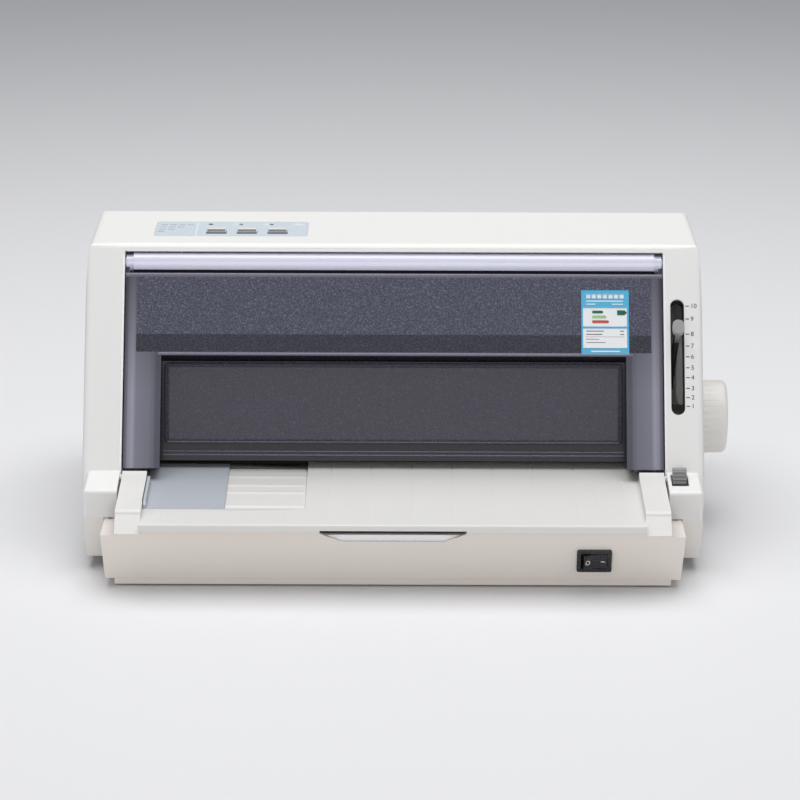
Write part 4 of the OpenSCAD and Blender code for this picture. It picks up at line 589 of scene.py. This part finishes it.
class Bench:
    """Modelling moves shared by the sub-assemblies."""

    def __init__(self, frame: dict, finishes: Finishes) -> None:
        """Keeps the loaded solids and the finishes.

        Args:
            finishes: The printer's finishes.
        """
        self.nodes: dict[str, Piece] = frame["nodes"]
        self.owner: dict[str, str] = {
            node: body for body, members in frame["record"]["behaviour"]["bodies"].items() for node in members
        }
        self.finishes = finishes

    @staticmethod
    def deselect() -> None:
        """Deselects every object."""
        if bpy.context.object is not None and bpy.context.object.mode != "OBJECT":
            bpy.ops.object.mode_set(mode="OBJECT")
        bpy.ops.object.select_all(action="DESELECT")

    def activate(self, piece: Piece) -> None:
        """Selects one object alone and makes it the active one."""
        self.deselect()
        piece.select_set(True)
        bpy.context.view_layer.objects.active = piece

    def paint(self, node: str, finish: str) -> None:
        """Gives a solid one finish all over."""
        mesh = self.nodes[node].data
        mesh.materials.clear()
        mesh.materials.append(self.finishes[finish])
        LOG.info("painted %s with %s", node, finish)

    def copy_of(self, node: str, name: str, finish: str, slot: str, tidy: bool = True) -> Piece:
        """Copies a solid as a merged mesh that stands for it.

        Args:
            node: Name of the solid.
            name: Name of the new piece.
            finish: Name of its finish.
            slot: The record's material slot; not used.
            tidy: Whether flat faces are joined into one.

        Returns:
            The new piece, riding on the solid's body.
        """
        piece = bpy.data.objects.new(name, self.nodes[node].data.copy())
        link(piece)
        piece.data.materials.clear()
        piece.data.materials.append(self.finishes[finish])
        self.activate(piece)
        bpy.ops.object.mode_set(mode="EDIT")
        bpy.ops.mesh.select_all(action="SELECT")
        bpy.ops.mesh.remove_doubles(threshold=MERGE)
        if tidy:
            bpy.ops.mesh.dissolve_limited(angle_limit=SAME_PLANE)
        bpy.ops.object.mode_set(mode="OBJECT")
        for polygon in piece.data.polygons:
            polygon.material_index = 0
        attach(piece, self.owner[node])
        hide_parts(node)
        return piece

    def soften(self, piece: Piece, width: float, segments: int = 3, angle: float = 35.0) -> None:
        """Rounds a piece's sharp edges and evens its shading.

        Args:
            piece: The piece.
            width: Width of the rounding in millimetres.
            segments: Facets across the rounding.
            angle: Smallest angle in degrees of an edge that is rounded.
        """
        self.activate(piece)
        rounding = piece.modifiers.new("soft_edges", "BEVEL")
        rounding.width = width * MM
        rounding.segments = segments
        rounding.limit_method = "ANGLE"
        rounding.angle_limit = math.radians(angle)
        rounding.use_clamp_overlap = True
        rounding.miter_outer = "MITER_ARC"
        bpy.ops.object.modifier_apply(modifier=rounding.name)
        self.even(piece)

    def even(self, piece: Piece) -> None:
        """Shades a piece smooth, with its large faces kept flat."""
        self.activate(piece)
        bpy.ops.object.shade_smooth_by_angle(angle=SMOOTH_BELOW)
        flat = piece.modifiers.new("flat_faces", "WEIGHTED_NORMAL")
        flat.keep_sharp = True
        flat.weight = 90
        bpy.ops.object.modifier_apply(modifier=flat.name)

    def split(self, piece: Piece, place: Vector, normal: Vector) -> None:
        """Cuts a piece's faces along a plane, so that its zones can be painted."""
        self.activate(piece)
        bpy.ops.object.mode_set(mode="EDIT")
        bpy.ops.mesh.select_all(action="SELECT")
        bpy.ops.mesh.bisect(plane_co=place, plane_no=normal, use_fill=False, threshold=0.000001)
        bpy.ops.object.mode_set(mode="OBJECT")

    def zones(self, piece: Piece, pick: Pick) -> None:
        """Paints the faces of a piece by their place.

        Args:
            piece: The piece.
            pick: Names a face's finish from its middle and normal, or gives None to leave it.
        """
        mesh = piece.data
        slots: dict[str, int] = {}
        for face in mesh.polygons:
            finish = pick(face.center, face.normal)
            if finish is None:
                continue
            if finish not in slots:
                slots[finish] = len(mesh.materials)
                mesh.materials.append(self.finishes[finish])
            face.material_index = slots[finish]

    def tile(self, centre: Vector, size: Triple, corner: float, turn: Matrix | None = None) -> Piece:
        """Adds a thin tile with round corners and a softened rim.

        Args:
            centre: Middle of the tile.
            size: Width, height and thickness in millimetres, thickness along its own Z.
            corner: Radius of its corners in millimetres.
            turn: Rotation of the tile, or None.

        Returns:
            The tile.
        """
        self.deselect()
        bpy.ops.mesh.primitive_cube_add(size=1.0)
        piece = bpy.context.object
        piece.data.transform(Matrix.Diagonal((*[s * MM for s in size], 1.0)))
        thick = size[2] * MM
        self._bevel_where(piece, corner, 6, lambda first, last: abs(first.z - last.z) > thick * 0.5)
        self._bevel_where(piece, size[2] * 0.3, 2, lambda first, last: min(first.z, last.z) > thick * 0.45)
        piece.data.transform(Matrix.Translation(centre) @ (turn if turn is not None else Matrix.Identity(4)))
        return piece

    @staticmethod
    def _bevel_where(piece: Piece, width: float, segments: int, test: Test) -> None:
        """Bevels some edges of the active piece.

        Args:
            piece: The piece.
            width: Width in millimetres.
            segments: Facets across the bevel.
            test: Says from an edge's two ends whether it is bevelled.
        """
        for edge in piece.data.edges:
            edge.select = test(*[piece.data.vertices[end].co for end in edge.vertices])
        bpy.context.tool_settings.mesh_select_mode = (False, True, False)
        bpy.ops.object.mode_set(mode="EDIT")
        bpy.ops.mesh.bevel(offset=width * MM, segments=segments, affect="EDGES")
        bpy.ops.mesh.select_all(action="DESELECT")
        bpy.ops.object.mode_set(mode="OBJECT")

    def settle(self, piece: Piece, name: str, body: str, finish: str, slot: str) -> Piece:
        """Names a new piece, bakes its place into its mesh and lets it ride.

        Args:
            piece: The piece.
            name: Its name.
            body: The body that it moves with.
            finish: Name of its finish.
            slot: The record's material slot; not used.

        Returns:
            The piece.
        """
        self.activate(piece)
        piece.name = name
        piece.data.name = name
        bpy.ops.object.transform_apply(location=True, rotation=True, scale=True)
        piece.data.materials.clear()
        piece.data.materials.append(self.finishes[finish])
        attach(piece, body)
        LOG.info("built %s on %s", name, body)
        return piece

    def join(self, pieces: list[Piece]) -> Piece:
        """Joins pieces into the first one and returns it."""
        self.deselect()
        for piece in pieces:
            piece.select_set(True)
        bpy.context.view_layer.objects.active = pieces[0]
        if len(pieces) > 1:
            bpy.ops.object.join()
        return pieces[0]


# ---------------------------------------------------------------- sub-assemblies


@dataclass
class CaseWork:
    """The upper and lower casings with their feet and screws.

    Attributes:
        edge: Rounding of the upper casing's edges, in millimetres.
        base_edge: Rounding of the base's edges.
        lip: Width of the painted highlight strip along each pillar's inner edge.
        seam: Height where the side lobes turn to the base's warmer tone.
        lobe_back: Place along Y that the lobes' front lies before.
        scoop_half: Half width of the finger scoop in the base's front.
        scoop_y: Ends of the scoop along Y.
        scoop_z: Lower and upper end of the scoop.
        strip: How far the pillars' front faces reach into the bay.
    """

    bench: Bench
    edge: float = 0.9
    base_edge: float = 1.3
    lip: float = 1.3
    seam: float = 33.0
    lobe_back: float = -60.0
    scoop_half: float = 45.0
    scoop_y: Pair = (-137.6, -134.5)
    scoop_z: Pair = (28.0, 38.5)
    strip: float = 3.0

    def build(self) -> None:
        """Builds the casings."""
        bench = self.bench
        upper = bench.copy_of("upper_case", "upper_casing", "white_case", "white_case")
        bench.split(upper, at(0, 0, self.seam), Vector((0.0, 0.0, 1.0)))
        for side in (-1.0, 1.0):
            bench.split(upper, at(side * (HALF_BAY - self.strip), 0, 0), Vector((1.0, 0.0, 0.0)))
        bench.soften(upper, self.edge)
        bench.zones(upper, self._upper_finish)
        self._edge_highlights()
        lower = bench.copy_of("lower_case", "lower_casing", "base_white", "base_case")
        bench.soften(lower, self.base_edge)
        bench.zones(lower, self._lower_finish)
        hatch = bench.copy_of("rear_hatch", "rear_hatch_lid", "white_case", "white_case")
        bench.soften(hatch, 0.4)
        bench.paint("rubber_feet", "rubber_black")
        bench.paint("case_screws", "ground_steel")

    def _upper_finish(self, spot: Vector, normal: Vector) -> str | None:
        """Gives the front lobes' faces below the seam the base's warmer tone."""
        low = spot.z / MM - STAND < self.seam and spot.y / MM < self.lobe_back
        return "foot_white" if low else None

    def _lower_finish(self, spot: Vector, normal: Vector) -> str | None:
        """Gives the finger scoop under the table's lip its pale grey, made brighter by painted light against
        the shade under the lip.
        """
        x, y, z = (spot.x - BODY_MIDDLE_X) / MM, spot.y / MM, spot.z / MM - STAND
        deep = self.scoop_y[0] < y < self.scoop_y[1] and self.scoop_z[0] < z < self.scoop_z[1]
        return "scoop_grey" if deep and abs(x) < self.scoop_half and normal.y < -0.2 else None

    def _edge_highlights(self) -> None:
        """Adds a painted highlight strip along each pillar's inner edge, where its rounding catches the light.
        """
        long = FACE_TOP - 2.0
        place = on_face(HALF_BAY + self.lip / 2 + 0.1, long / 2, -0.02)
        first = self.bench.tile(place, (self.lip, long, 0.3), 0.4, FACE_TURN)
        second = first.copy()
        second.data = first.data.copy()
        link(second)
        second.data.transform(Matrix.Translation((-(2 * HALF_BAY + self.lip + 0.2) * MM, 0.0, 0.0)))
        self.bench.settle(self.bench.join([first, second]), "pillar_edge_highlights", "chassis", "edge_highlight_white", "white_case")


@dataclass
class SmokedCover:
    """The tinted cover: gloss rim, grained upper field, recessed panel and a barrel whose lighter tone is a
    painted reflection.

    Attributes:
        field_half: Half width of the grained field, in millimetres.
        field: Lower and upper end of the grained field, up the face.
        window_half: Half width of the recessed window.
        rail_half: Half width of the rails at the window's foot.
        rails: Upper and lower end of the rails, as shares of the panel.
        pad_half: Half width of the pad seen through the recessed panel.
        pad: Upper and lower end of that pad, as shares of the panel.
        wall_edges: Outer edges of the dark strips beside the window.
        stretch: How much the barrel's lower half is drawn out toward the panel.
    """

    bench: Bench
    field_half: float = 159.5
    field: Pair = (84.4, 120.7)
    window_half: float = 146.0
    rail_half: float = 144.0
    rails: Pair = (0.88, 0.97)
    pad_half: float = 142.2
    pad: Pair = (0.012, 0.83)
    wall_edges: Pair = (-151.0, 148.2)
    stretch: float = 1.25

    def build(self) -> None:
        """Builds the cover."""
        bench = self.bench
        cover = bench.copy_of("front_cover", "smoked_cover", "smoke_gloss", "smoke_cover")
        up = Vector((0.0, LEAN_SIN, LEAN_COS))
        for height in (*self.field, LEDGE + 2.2):
            bench.split(cover, on_face(0, height), up)
        for x in (-self.field_half, *self.wall_edges, self.field_half):
            bench.split(cover, on_face(x, 0), Vector((1.0, 0.0, 0.0)))
        self._stretch_barrel(cover, up * MM)
        bench.soften(cover, 0.45)
        bench.zones(cover, self._finish_at)
        bench.paint("cover_pads", "foam_grey")
        middle, tall = sum(self.pad) / 2, (self.pad[1] - self.pad[0]) * RECESS_LENGTH
        pad = bench.tile(recess_place(0, middle, 0.02), (2 * self.pad_half, tall, 0.16), 3.0, RECESS_TURN)
        bench.settle(pad, "window_pad", "cover", "smoke_panel", "smoke_cover")
        Sticker(self.bench).build()

    def _stretch_barrel(self, cover: Piece, up: Vector) -> None:
        """Draws the barrel's lower half toward the panel, so that only a narrow groove stays.

        Args:
            cover: The cover.
            up: One millimetre up the face.
        """
        for corner in cover.data.vertices:
            below = face_place(corner.co)[1] - (FACE_TOP - BARREL_DROP)
            if below < 0.0 and 4.5 < self._reach(corner.co, 1.0) < BARREL_RADIUS + 0.2:
                corner.co += up * below * (self.stretch - 1.0)

    @staticmethod
    def _reach(spot: Vector, stretch: float) -> float:
        """Returns a point's distance from the barrel's axis in millimetres, as on the round barrel."""
        x, s, d = face_place(spot)
        off = s - (FACE_TOP - BARREL_DROP)
        return math.hypot(off / stretch if off < 0.0 else off, d - BARREL_RADIUS)

    @staticmethod
    def _recess_shares(spot: Vector) -> Pair:
        """Returns a point's share of the recessed panel's length and millimetres in front of it."""
        y = spot.y / MM - RECESS_TOP[0]
        z = spot.z / MM - STAND - RECESS_TOP[1]
        share = (-z * math.cos(RECESS_TILT) + y * math.sin(RECESS_TILT)) / RECESS_LENGTH
        return share, -(y * math.cos(RECESS_TILT) + z * math.sin(RECESS_TILT))

    def _finish_at(self, spot: Vector, normal: Vector) -> str | None:
        """Names the finish of a face of the cover.

        Args:
            spot: The face's middle.
            normal: The face's normal.

        Returns:
            The finish, or None for the glossy legs and edges.
        """
        x, s, d = face_place(spot)
        share, out = self._recess_shares(spot)
        off = abs(x)
        on_rails = off < self.rail_half and self.rails[0] < share < self.rails[1]
        on_foot = off < self.window_half and share > 0.985 and out > -0.3
        on_ledge = off < self.window_half and LEDGE - 0.4 < s < LEDGE + 2.0 and d < 1.4
        on_lip = self.field[1] < s < PANEL_TOP + 0.2 and d < 1.6
        in_frame = off < self.window_half + 0.3 and -0.05 < share < 1.1 and s < LEDGE + 1.0
        in_window = in_frame and d > 1.2 and out > -0.5
        beside = self.wall_edges[0] < x < self.wall_edges[1] and off > self.window_half and s < LEDGE - 0.5
        on_skin = off < self.field_half and abs(d) < 0.6
        zones = (
            # The barrel's faces get the painted reflection.
            ("smoke_barrel", self._reach(spot, self.stretch) < BARREL_RADIUS + 0.2),
            # The groove under the barrel gets the painted shadow.
            ("smoke_dark", PANEL_TOP - 2.5 < s < FACE_TOP - BARREL_DROP and 1.5 < d < 5.0),
            # The rails' raised tops get the brighter painted highlight.
            ("smoke_edge", on_rails and out > 0.47),
            # Rails, the window's foot, the ledge and the ridge get the painted highlight.
            ("smoke_light", (on_rails and out > 0.12) or on_foot or on_ledge or on_lip),
            ("smoke_strip", in_window or beside),
            ("smoke_band", on_skin and LEDGE + 2.2 < s < self.field[0]),
            ("smoke_grain", on_skin and self.field[0] < s < self.field[1]),
        )
        return next((finish for finish, holds in zones if holds), None)


@dataclass
class Sticker:
    """The plain coloured sticker on the cover: two white panels with bars on a blue ground.

    Attributes:
        left: Left edge, millimetres right of the middle plane.
        top: Upper edge, up the face.
        size: Width and height.
    """

    bench: Bench
    left: float = 116.2
    top: float = 113.2
    size: Pair = (29.6, 41.2)

    def build(self) -> None:
        """Builds the sticker."""
        bench = self.bench
        ground = self._patch((0.0, 0.0), self.size, 0.0, 0.4)
        bench.settle(ground, "sticker_ground", "cover", "sticker_blue", "film")
        white = [
            self._patch((1.0, 11.4), (27.4, 11.8), 1.0, 0.3),
            self._patch((1.0, 24.4), (27.4, 12.4), 1.0, 0.3),
            *[self._patch((3.0 + 3.45 * count, 2.8), (2.8, 2.6), 1.0, 0.5) for count in range(7)],
            self._patch((3.0, 6.6), (23.0, 0.8), 1.0, 0.2),
            self._patch((3.0, 8.6), (6.0, 0.7), 1.0, 0.2),
            self._patch((19.0, 8.6), (7.0, 0.7), 1.0, 0.2),
            self._patch((6.0, 38.4), (18.0, 0.9), 1.0, 0.2),
        ]
        bench.settle(bench.join(white), "sticker_panels", "cover", "print_white", "film")
        for name, finish, corner, size in (
            ("sticker_bar_dark", "sticker_green", (6.8, 13.1), (6.2, 1.8)),
            ("sticker_bar_lime", "sticker_lime", (6.8, 16.2), (8.2, 1.8)),
            ("sticker_bar_red", "sticker_red", (6.8, 19.2), (9.8, 1.9)),
            ("sticker_tag", "sticker_green", (22.2, 12.8), (4.8, 3.2)),
        ):
            bar = bench.join([self._patch(corner, size, 2.0, 0.2), self._point(corner, size)])
            bench.settle(bar, name, "cover", finish, "film")
        rows = [self._patch((3.0, 25.8 + 2.1 * row), (11.0 - row, 0.55), 2.0, 0.1) for row in range(2)]
        rows += [self._patch((3.0, 31.0 + 2.1 * row), (8.0 + 4.0 * row, 0.4), 2.0, 0.1) for row in range(2)]
        rows += [self._patch((24.0, 25.8 + 2.1 * row), (2.4, 0.55), 2.0, 0.1) for row in range(2)]
        rows.append(self._patch((2.6, 29.6), (24.2, 0.2), 2.0, 0.05))
        bench.settle(bench.join(rows), "sticker_rows", "cover", "print_grey", "film")

    def _patch(self, corner: Pair, size: Pair, level: float, radius: float) -> Piece:
        """Adds one printed patch.

        Args:
            corner: Left and upper edge, in millimetres from the sticker's corner.
            size: Width and height.
            level: Layers that lie under it.
            radius: Radius of its corners.

        Returns:
            The patch.
        """
        x = self.left + corner[0] + size[0] / 2
        s = self.top - corner[1] - size[1] / 2
        return self.bench.tile(on_face(x, s, -0.05 - 0.03 * level), (*size, 0.1), radius, FACE_TURN)

    def _point(self, corner: Pair, size: Pair) -> Piece:
        """Adds the pointed end of a bar.

        Args:
            corner: Left and upper edge of the bar.
            size: Width and height of the bar.

        Returns:
            The pointed end.
        """
        x = self.left + corner[0] + size[0]
        s = self.top - corner[1] - size[1] / 2
        side = size[1] * 0.66
        turn = FACE_TURN @ Matrix.Rotation(math.pi / 4, 4, "Z")
        return self.bench.tile(on_face(x, s, -0.11), (side, side, 0.1), 0.1, turn)


@dataclass
class PaperTable:
    """The paper table and its sliding edge guide.

    Attributes:
        half: Half width between the raised arms, in millimetres.
        rim: Rounding of the arms and the front lip.
    """

    bench: Bench
    half: float = 151.5
    rim: float = 0.8

    def build(self) -> None:
        """Builds the table."""
        table = self.bench.copy_of("paper_table", "paper_tray", "table_white", "white_case", tidy=False)
        self._round_rim(table)
        guide = self.bench.copy_of("edge_guide", "sliding_guide", "guide_grey", "grey_plastic")
        self.bench.soften(guide, 0.35)

    def _round_rim(self, table: Piece) -> None:
        """Rounds the long edges of the arms and the front lip, and leaves the fine grooves crisp.

        Args:
            table: The table's mesh.
        """
        mesh = table.data
        weights = mesh.attributes.new("bevel_weight_edge", "FLOAT", "EDGE")
        facing: dict[tuple[int, int], list[Vector]] = {}
        for face in mesh.polygons:
            for key in face.edge_keys:
                facing.setdefault(key, []).append(face.normal)
        for edge in mesh.edges:
            ends = [mesh.vertices[i].co for i in edge.vertices]
            normals = facing.get(edge.key, [])
            if len(normals) != 2 or normals[0].angle(normals[1]) < math.radians(35):
                continue
            on_arm = all(abs(end.x - BODY_MIDDLE_X) / MM > self.half - 0.6 for end in ends)
            on_lip = all(end.y / MM < -146.5 for end in ends)
            if (on_arm or on_lip) and (ends[0] - ends[1]).length > 0.0012:
                weights.data[edge.index].value = 1.0
        self.bench.activate(table)
        rounding = table.modifiers.new("soft_rim", "BEVEL")
        rounding.width = self.rim * MM
        rounding.segments = 3
        rounding.limit_method = "WEIGHT"
        rounding.use_clamp_overlap = True
        bpy.ops.object.modifier_apply(modifier=rounding.name)
        self.bench.even(table)


@dataclass
class Controls:
    """Overlay, buttons, lamps, levers and power switch.

    Attributes:
        ticks: Heights of the scale's marks above the datum, in millimetres.
        switch: Place of the power switch on the base's front: right of the middle, and height.
    """

    bench: Bench
    ticks: tuple[float, ...] = (147.3, 140.0, 131.4, 124.7, 118.6, 112.4, 106.8, 100.8, 95.6, 90.7)
    switch: Pair = (121.0, 16.5)

    def build(self) -> None:
        """Builds the controls."""
        bench = self.bench
        bench.paint("control_overlay", "film_blue")
        bench.paint("led_lenses", "lamp_lens")
        bench.paint("control_board", "board_green")
        bench.paint("gap_shaft", "ground_steel")
        bench.paint("lever_channel", "slot_black")
        for side in ("left", "middle", "right"):
            button = bench.copy_of(f"button_{side}", f"{side}_push_button", "button_grey", "grey_plastic")
            bench.soften(button, 0.3)
            # The buttons' front faces get painted shade.
            bench.zones(button, lambda spot, normal: "button_front" if normal.y < -0.45 else None)
        lever = bench.copy_of("gap_lever", "gap_paddle", "lever_grey", "grey_plastic")
        bench.soften(lever, 0.5, 4)
        bench.zones(lever, lambda spot, normal: "stem_grey" if face_place(spot)[2] > 0.4 else None)
        for node, name, finish, slot, width in (
            ("release_lever", "release_paddle", "lever_grey", "grey_plastic", 0.4),
            ("switch_bezel", "switch_frame", "switch_black", "black_plastic", 0.3),
            ("rocker", "switch_rocker", "switch_black", "black_plastic", 0.3),
        ):
            bench.soften(bench.copy_of(node, name, finish, slot), width)
        self._scale_marks()
        self._overlay_marks()
        self._rocker_marks()

    def _label(self, words: str, height: float, place: Matrix) -> Piece:
        """Adds plain figures as a thin mesh.

        Args:
            words: The figures.
            height: Height of the type in millimetres.
            place: Where it goes.

        Returns:
            The figures.
        """
        self.bench.deselect()
        bpy.ops.object.text_add()
        label = bpy.context.object
        label.data.body = words
        label.data.size = height * MM
        label.data.align_x = "LEFT"
        label.data.align_y = "CENTER"
        label.data.extrude = 0.00004
        bpy.ops.object.convert(target="MESH")
        label = bpy.context.object
        label.data.transform(place)
        return label

    def _scale_marks(self) -> None:
        """Draws the plain numbered scale beside the gap lever."""
        marks = []
        for z in self.ticks:
            spot = on_face(181.9, face_height(z), -0.03)
            marks.append(self.bench.tile(spot, (2.2, 0.5, 0.1), 0.15, FACE_TURN))
        for count, z in enumerate(self.ticks):
            place = Matrix.Translation(on_face(183.9, face_height(z), -0.04)) @ FACE_TURN
            marks.append(self._label(str(len(self.ticks) - count), 4.0, place))
        self.bench.settle(self.bench.join(marks), "gap_scale", "chassis", "print_grey", "film")

    def _overlay_marks(self) -> None:
        """Draws the overlay's divider and its plain bars."""
        deck = CASE_TOP - 0.04
        light = [self.bench.tile(at(-124.8, 32.5, deck), (0.7, 40.5, 0.12), 0.2)]
        for x in (-99.0, -79.7, -60.4):
            light.append(self.bench.tile(at(x, 46.0, deck), (7.0, 1.6, 0.12), 0.3))
        self.bench.settle(self.bench.join(light), "overlay_lines", "chassis", "film_line", "film")
        dark = [
            self.bench.tile(at(-146.0 + 5.6 * count - 0.4 * row, 44.0 - 6.5 * row, deck), (4.0, 1.3, 0.12), 0.2)
            for row in range(4)
            for count in range(4 - row)
        ]
        self.bench.settle(self.bench.join(dark), "overlay_bars", "chassis", "guide_grey", "film")

    def _rocker_marks(self) -> None:
        """Draws the ring and the bar on the two ends of the rocker."""
        tilt = math.atan2(8.0, 29.5)
        x, z = self.switch
        y = -138.0 + (32.5 - z) * math.tan(tilt)
        panel = Matrix.Translation(at(x, y, z)) @ Matrix.Rotation(math.pi / 2 + tilt, 4, "X")
        left, right = (
            panel @ Matrix.Translation((x * MM, 0.0, z * MM)) @ Matrix.Rotation(math.radians(tip), 4, "Y")
            for x, z, tip in ((-3.95, 3.32, 22), (5.14, 1.88, -4))
        )
        self.bench.deselect()
        bpy.ops.mesh.primitive_torus_add(
            major_radius=1.3 * MM, minor_radius=0.22 * MM, major_segments=28, minor_segments=8
        )
        ring = bpy.context.object
        ring.data.transform(left @ Matrix.Diagonal((1.0, 1.0, 0.3, 1.0)))
        bar = self.bench.tile(Vector((0.0, 0.0, 0.0)), (2.6, 0.5, 0.12), 0.2)
        bar.data.transform(right)
        self.bench.settle(self.bench.join([ring, bar]), "rocker_marks", "power_rocker", "print_white", "film")


@dataclass
class Mechanism:
    """Everything inside the casings, and the knob."""

    bench: Bench

    def build(self) -> None:
        """Dresses the mechanism."""
        knob = self.bench.copy_of("platen_knob", "paper_knob", "knob_white", "white_case")
        self.bench.soften(knob, 0.25)
        plan = {
            "rubber_black": "platen_roller feed_roller_front feed_roller_rear timing_belt",
            "ground_steel": "platen_shaft guide_rod tractor_rod tractor_shaft",
            "sheet_steel": "side_frame_left side_frame_right cross_rail",
            "acetal_cream": "platen_gear feed_gear_front feed_gear_rear sprocket_left sprocket_right",
            "acetal_white": "idler_gear_front idler_gear_rear idler_gear_tractor"
            " pinch_rollers_front pinch_rollers_rear",
            "inner_black": "platen_bushes paper_guide rear_guide carriage ribbon_cartridge ribbon_knob"
            " tractor_left tractor_right power_inlet",
            "brass": "motor_pinion",
            "motor_can": "feed_motor carriage_motor",
            "cast_alloy": "print_head drive_pulley idler_pulley power_supply",
            "board_green": "main_board",
        }
        for finish, members in plan.items():
            for node in members.split():
                self.bench.paint(node, finish)


@dataclass
class Studio:
    """Floor, lights and camera.

    Attributes:
        lens: Focal length in millimetres on a 36 mm sensor.
        eye: Camera place along Y and Z, in metres.
        pitch: Degrees the camera looks down.
        roll: Degrees the camera is turned clockwise.
        lights: Name, place, aim, side length in metres and watts of each light.
    """

    bench: Bench
    lens: float = 162.0
    eye: Pair = (-2.1941, 0.6894)
    pitch: float = 15.5
    roll: float = 0.2
    lights: tuple[tuple, ...] = (
        ("softbox_above", (0.0, 0.15, 1.7), (0.0, 0.05, 0.1), 1.8, 31.0),
        ("fill_front", (0.0, -2.5, 0.45), (0.0, 0.0, 0.1), 1.6, 15.0),
        ("fill_left", (-1.9, -0.9, 0.8), (0.0, 0.0, 0.1), 1.2, 4.0),
        ("fill_right", (1.9, -0.9, 0.8), (0.0, 0.0, 0.1), 1.2, 3.0),
    )

    def build(self) -> None:
        """Builds the studio."""
        self._floor()
        self._camera()
        for name, place, aim, size, power in self.lights:
            self._light(name, Vector(place), Vector(aim), size, power)
        world = bpy.data.worlds.new("pale_room")
        bpy.context.scene.world = world
        world.use_nodes = True
        sky = world.node_tree.nodes["Background"].inputs
        sky["Color"].default_value, sky["Strength"].default_value = (0.92, 0.94, 1.0, 1.0), 0.25
        bpy.context.scene.view_settings.view_transform = "Standard"

    def _floor(self) -> None:
        """Adds the pale floor."""
        self.bench.deselect()
        bpy.ops.mesh.primitive_plane_add(size=12.0, location=(0.0, 0.0, -0.0002))
        floor = bpy.context.object
        floor.name = "studio_floor"
        floor.data.materials.append(self.bench.finishes["floor_paper"])

    def _camera(self) -> None:
        """Adds the camera at the photograph's viewing angle."""
        data = bpy.data.cameras.new("photo_camera")
        data.lens = self.lens
        data.sensor_width = 36.0
        data.shift_x = 6.5 / 800.0
        camera = bpy.data.objects.new("photo_camera", data)
        link(camera)
        place = Matrix.Translation((BODY_MIDDLE_X, *self.eye))
        turn = Matrix.Rotation(math.radians(90.0 - self.pitch), 4, "X")
        spin = Matrix.Rotation(math.radians(self.roll), 4, "Z")
        camera.matrix_world = place @ turn @ spin
        data.clip_end = 50.0
        bpy.context.scene.camera = camera

    @staticmethod
    def _light(name: str, place: Vector, aim: Vector, size: float, power: float) -> None:
        """Adds a soft square light.

        Args:
            name: Name of the light.
            place: Where it stands.
            aim: What it faces.
            size: Side length in metres.
            power: Watts.
        """
        data = bpy.data.lights.new(name, "AREA")
        data.size = size
        data.energy = power
        lamp = bpy.data.objects.new(name, data)
        link(lamp)
        lamp.location = place
        lamp.rotation_euler = (aim - place).to_track_quat("-Z", "Y").to_euler()


def main() -> None:
    """Builds the sub-assemblies in order."""
    logging.basicConfig(level=logging.INFO, format="%(name)s: %(message)s")
    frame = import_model()
    bench = Bench(frame, Finishes(Groups()))
    for part in (CaseWork, SmokedCover, PaperTable, Controls, Mechanism, Studio):
        part(bench).build()
        LOG.info("finished %s", part.__name__)
    bench.deselect()


if __name__ == "__main__":
    main()
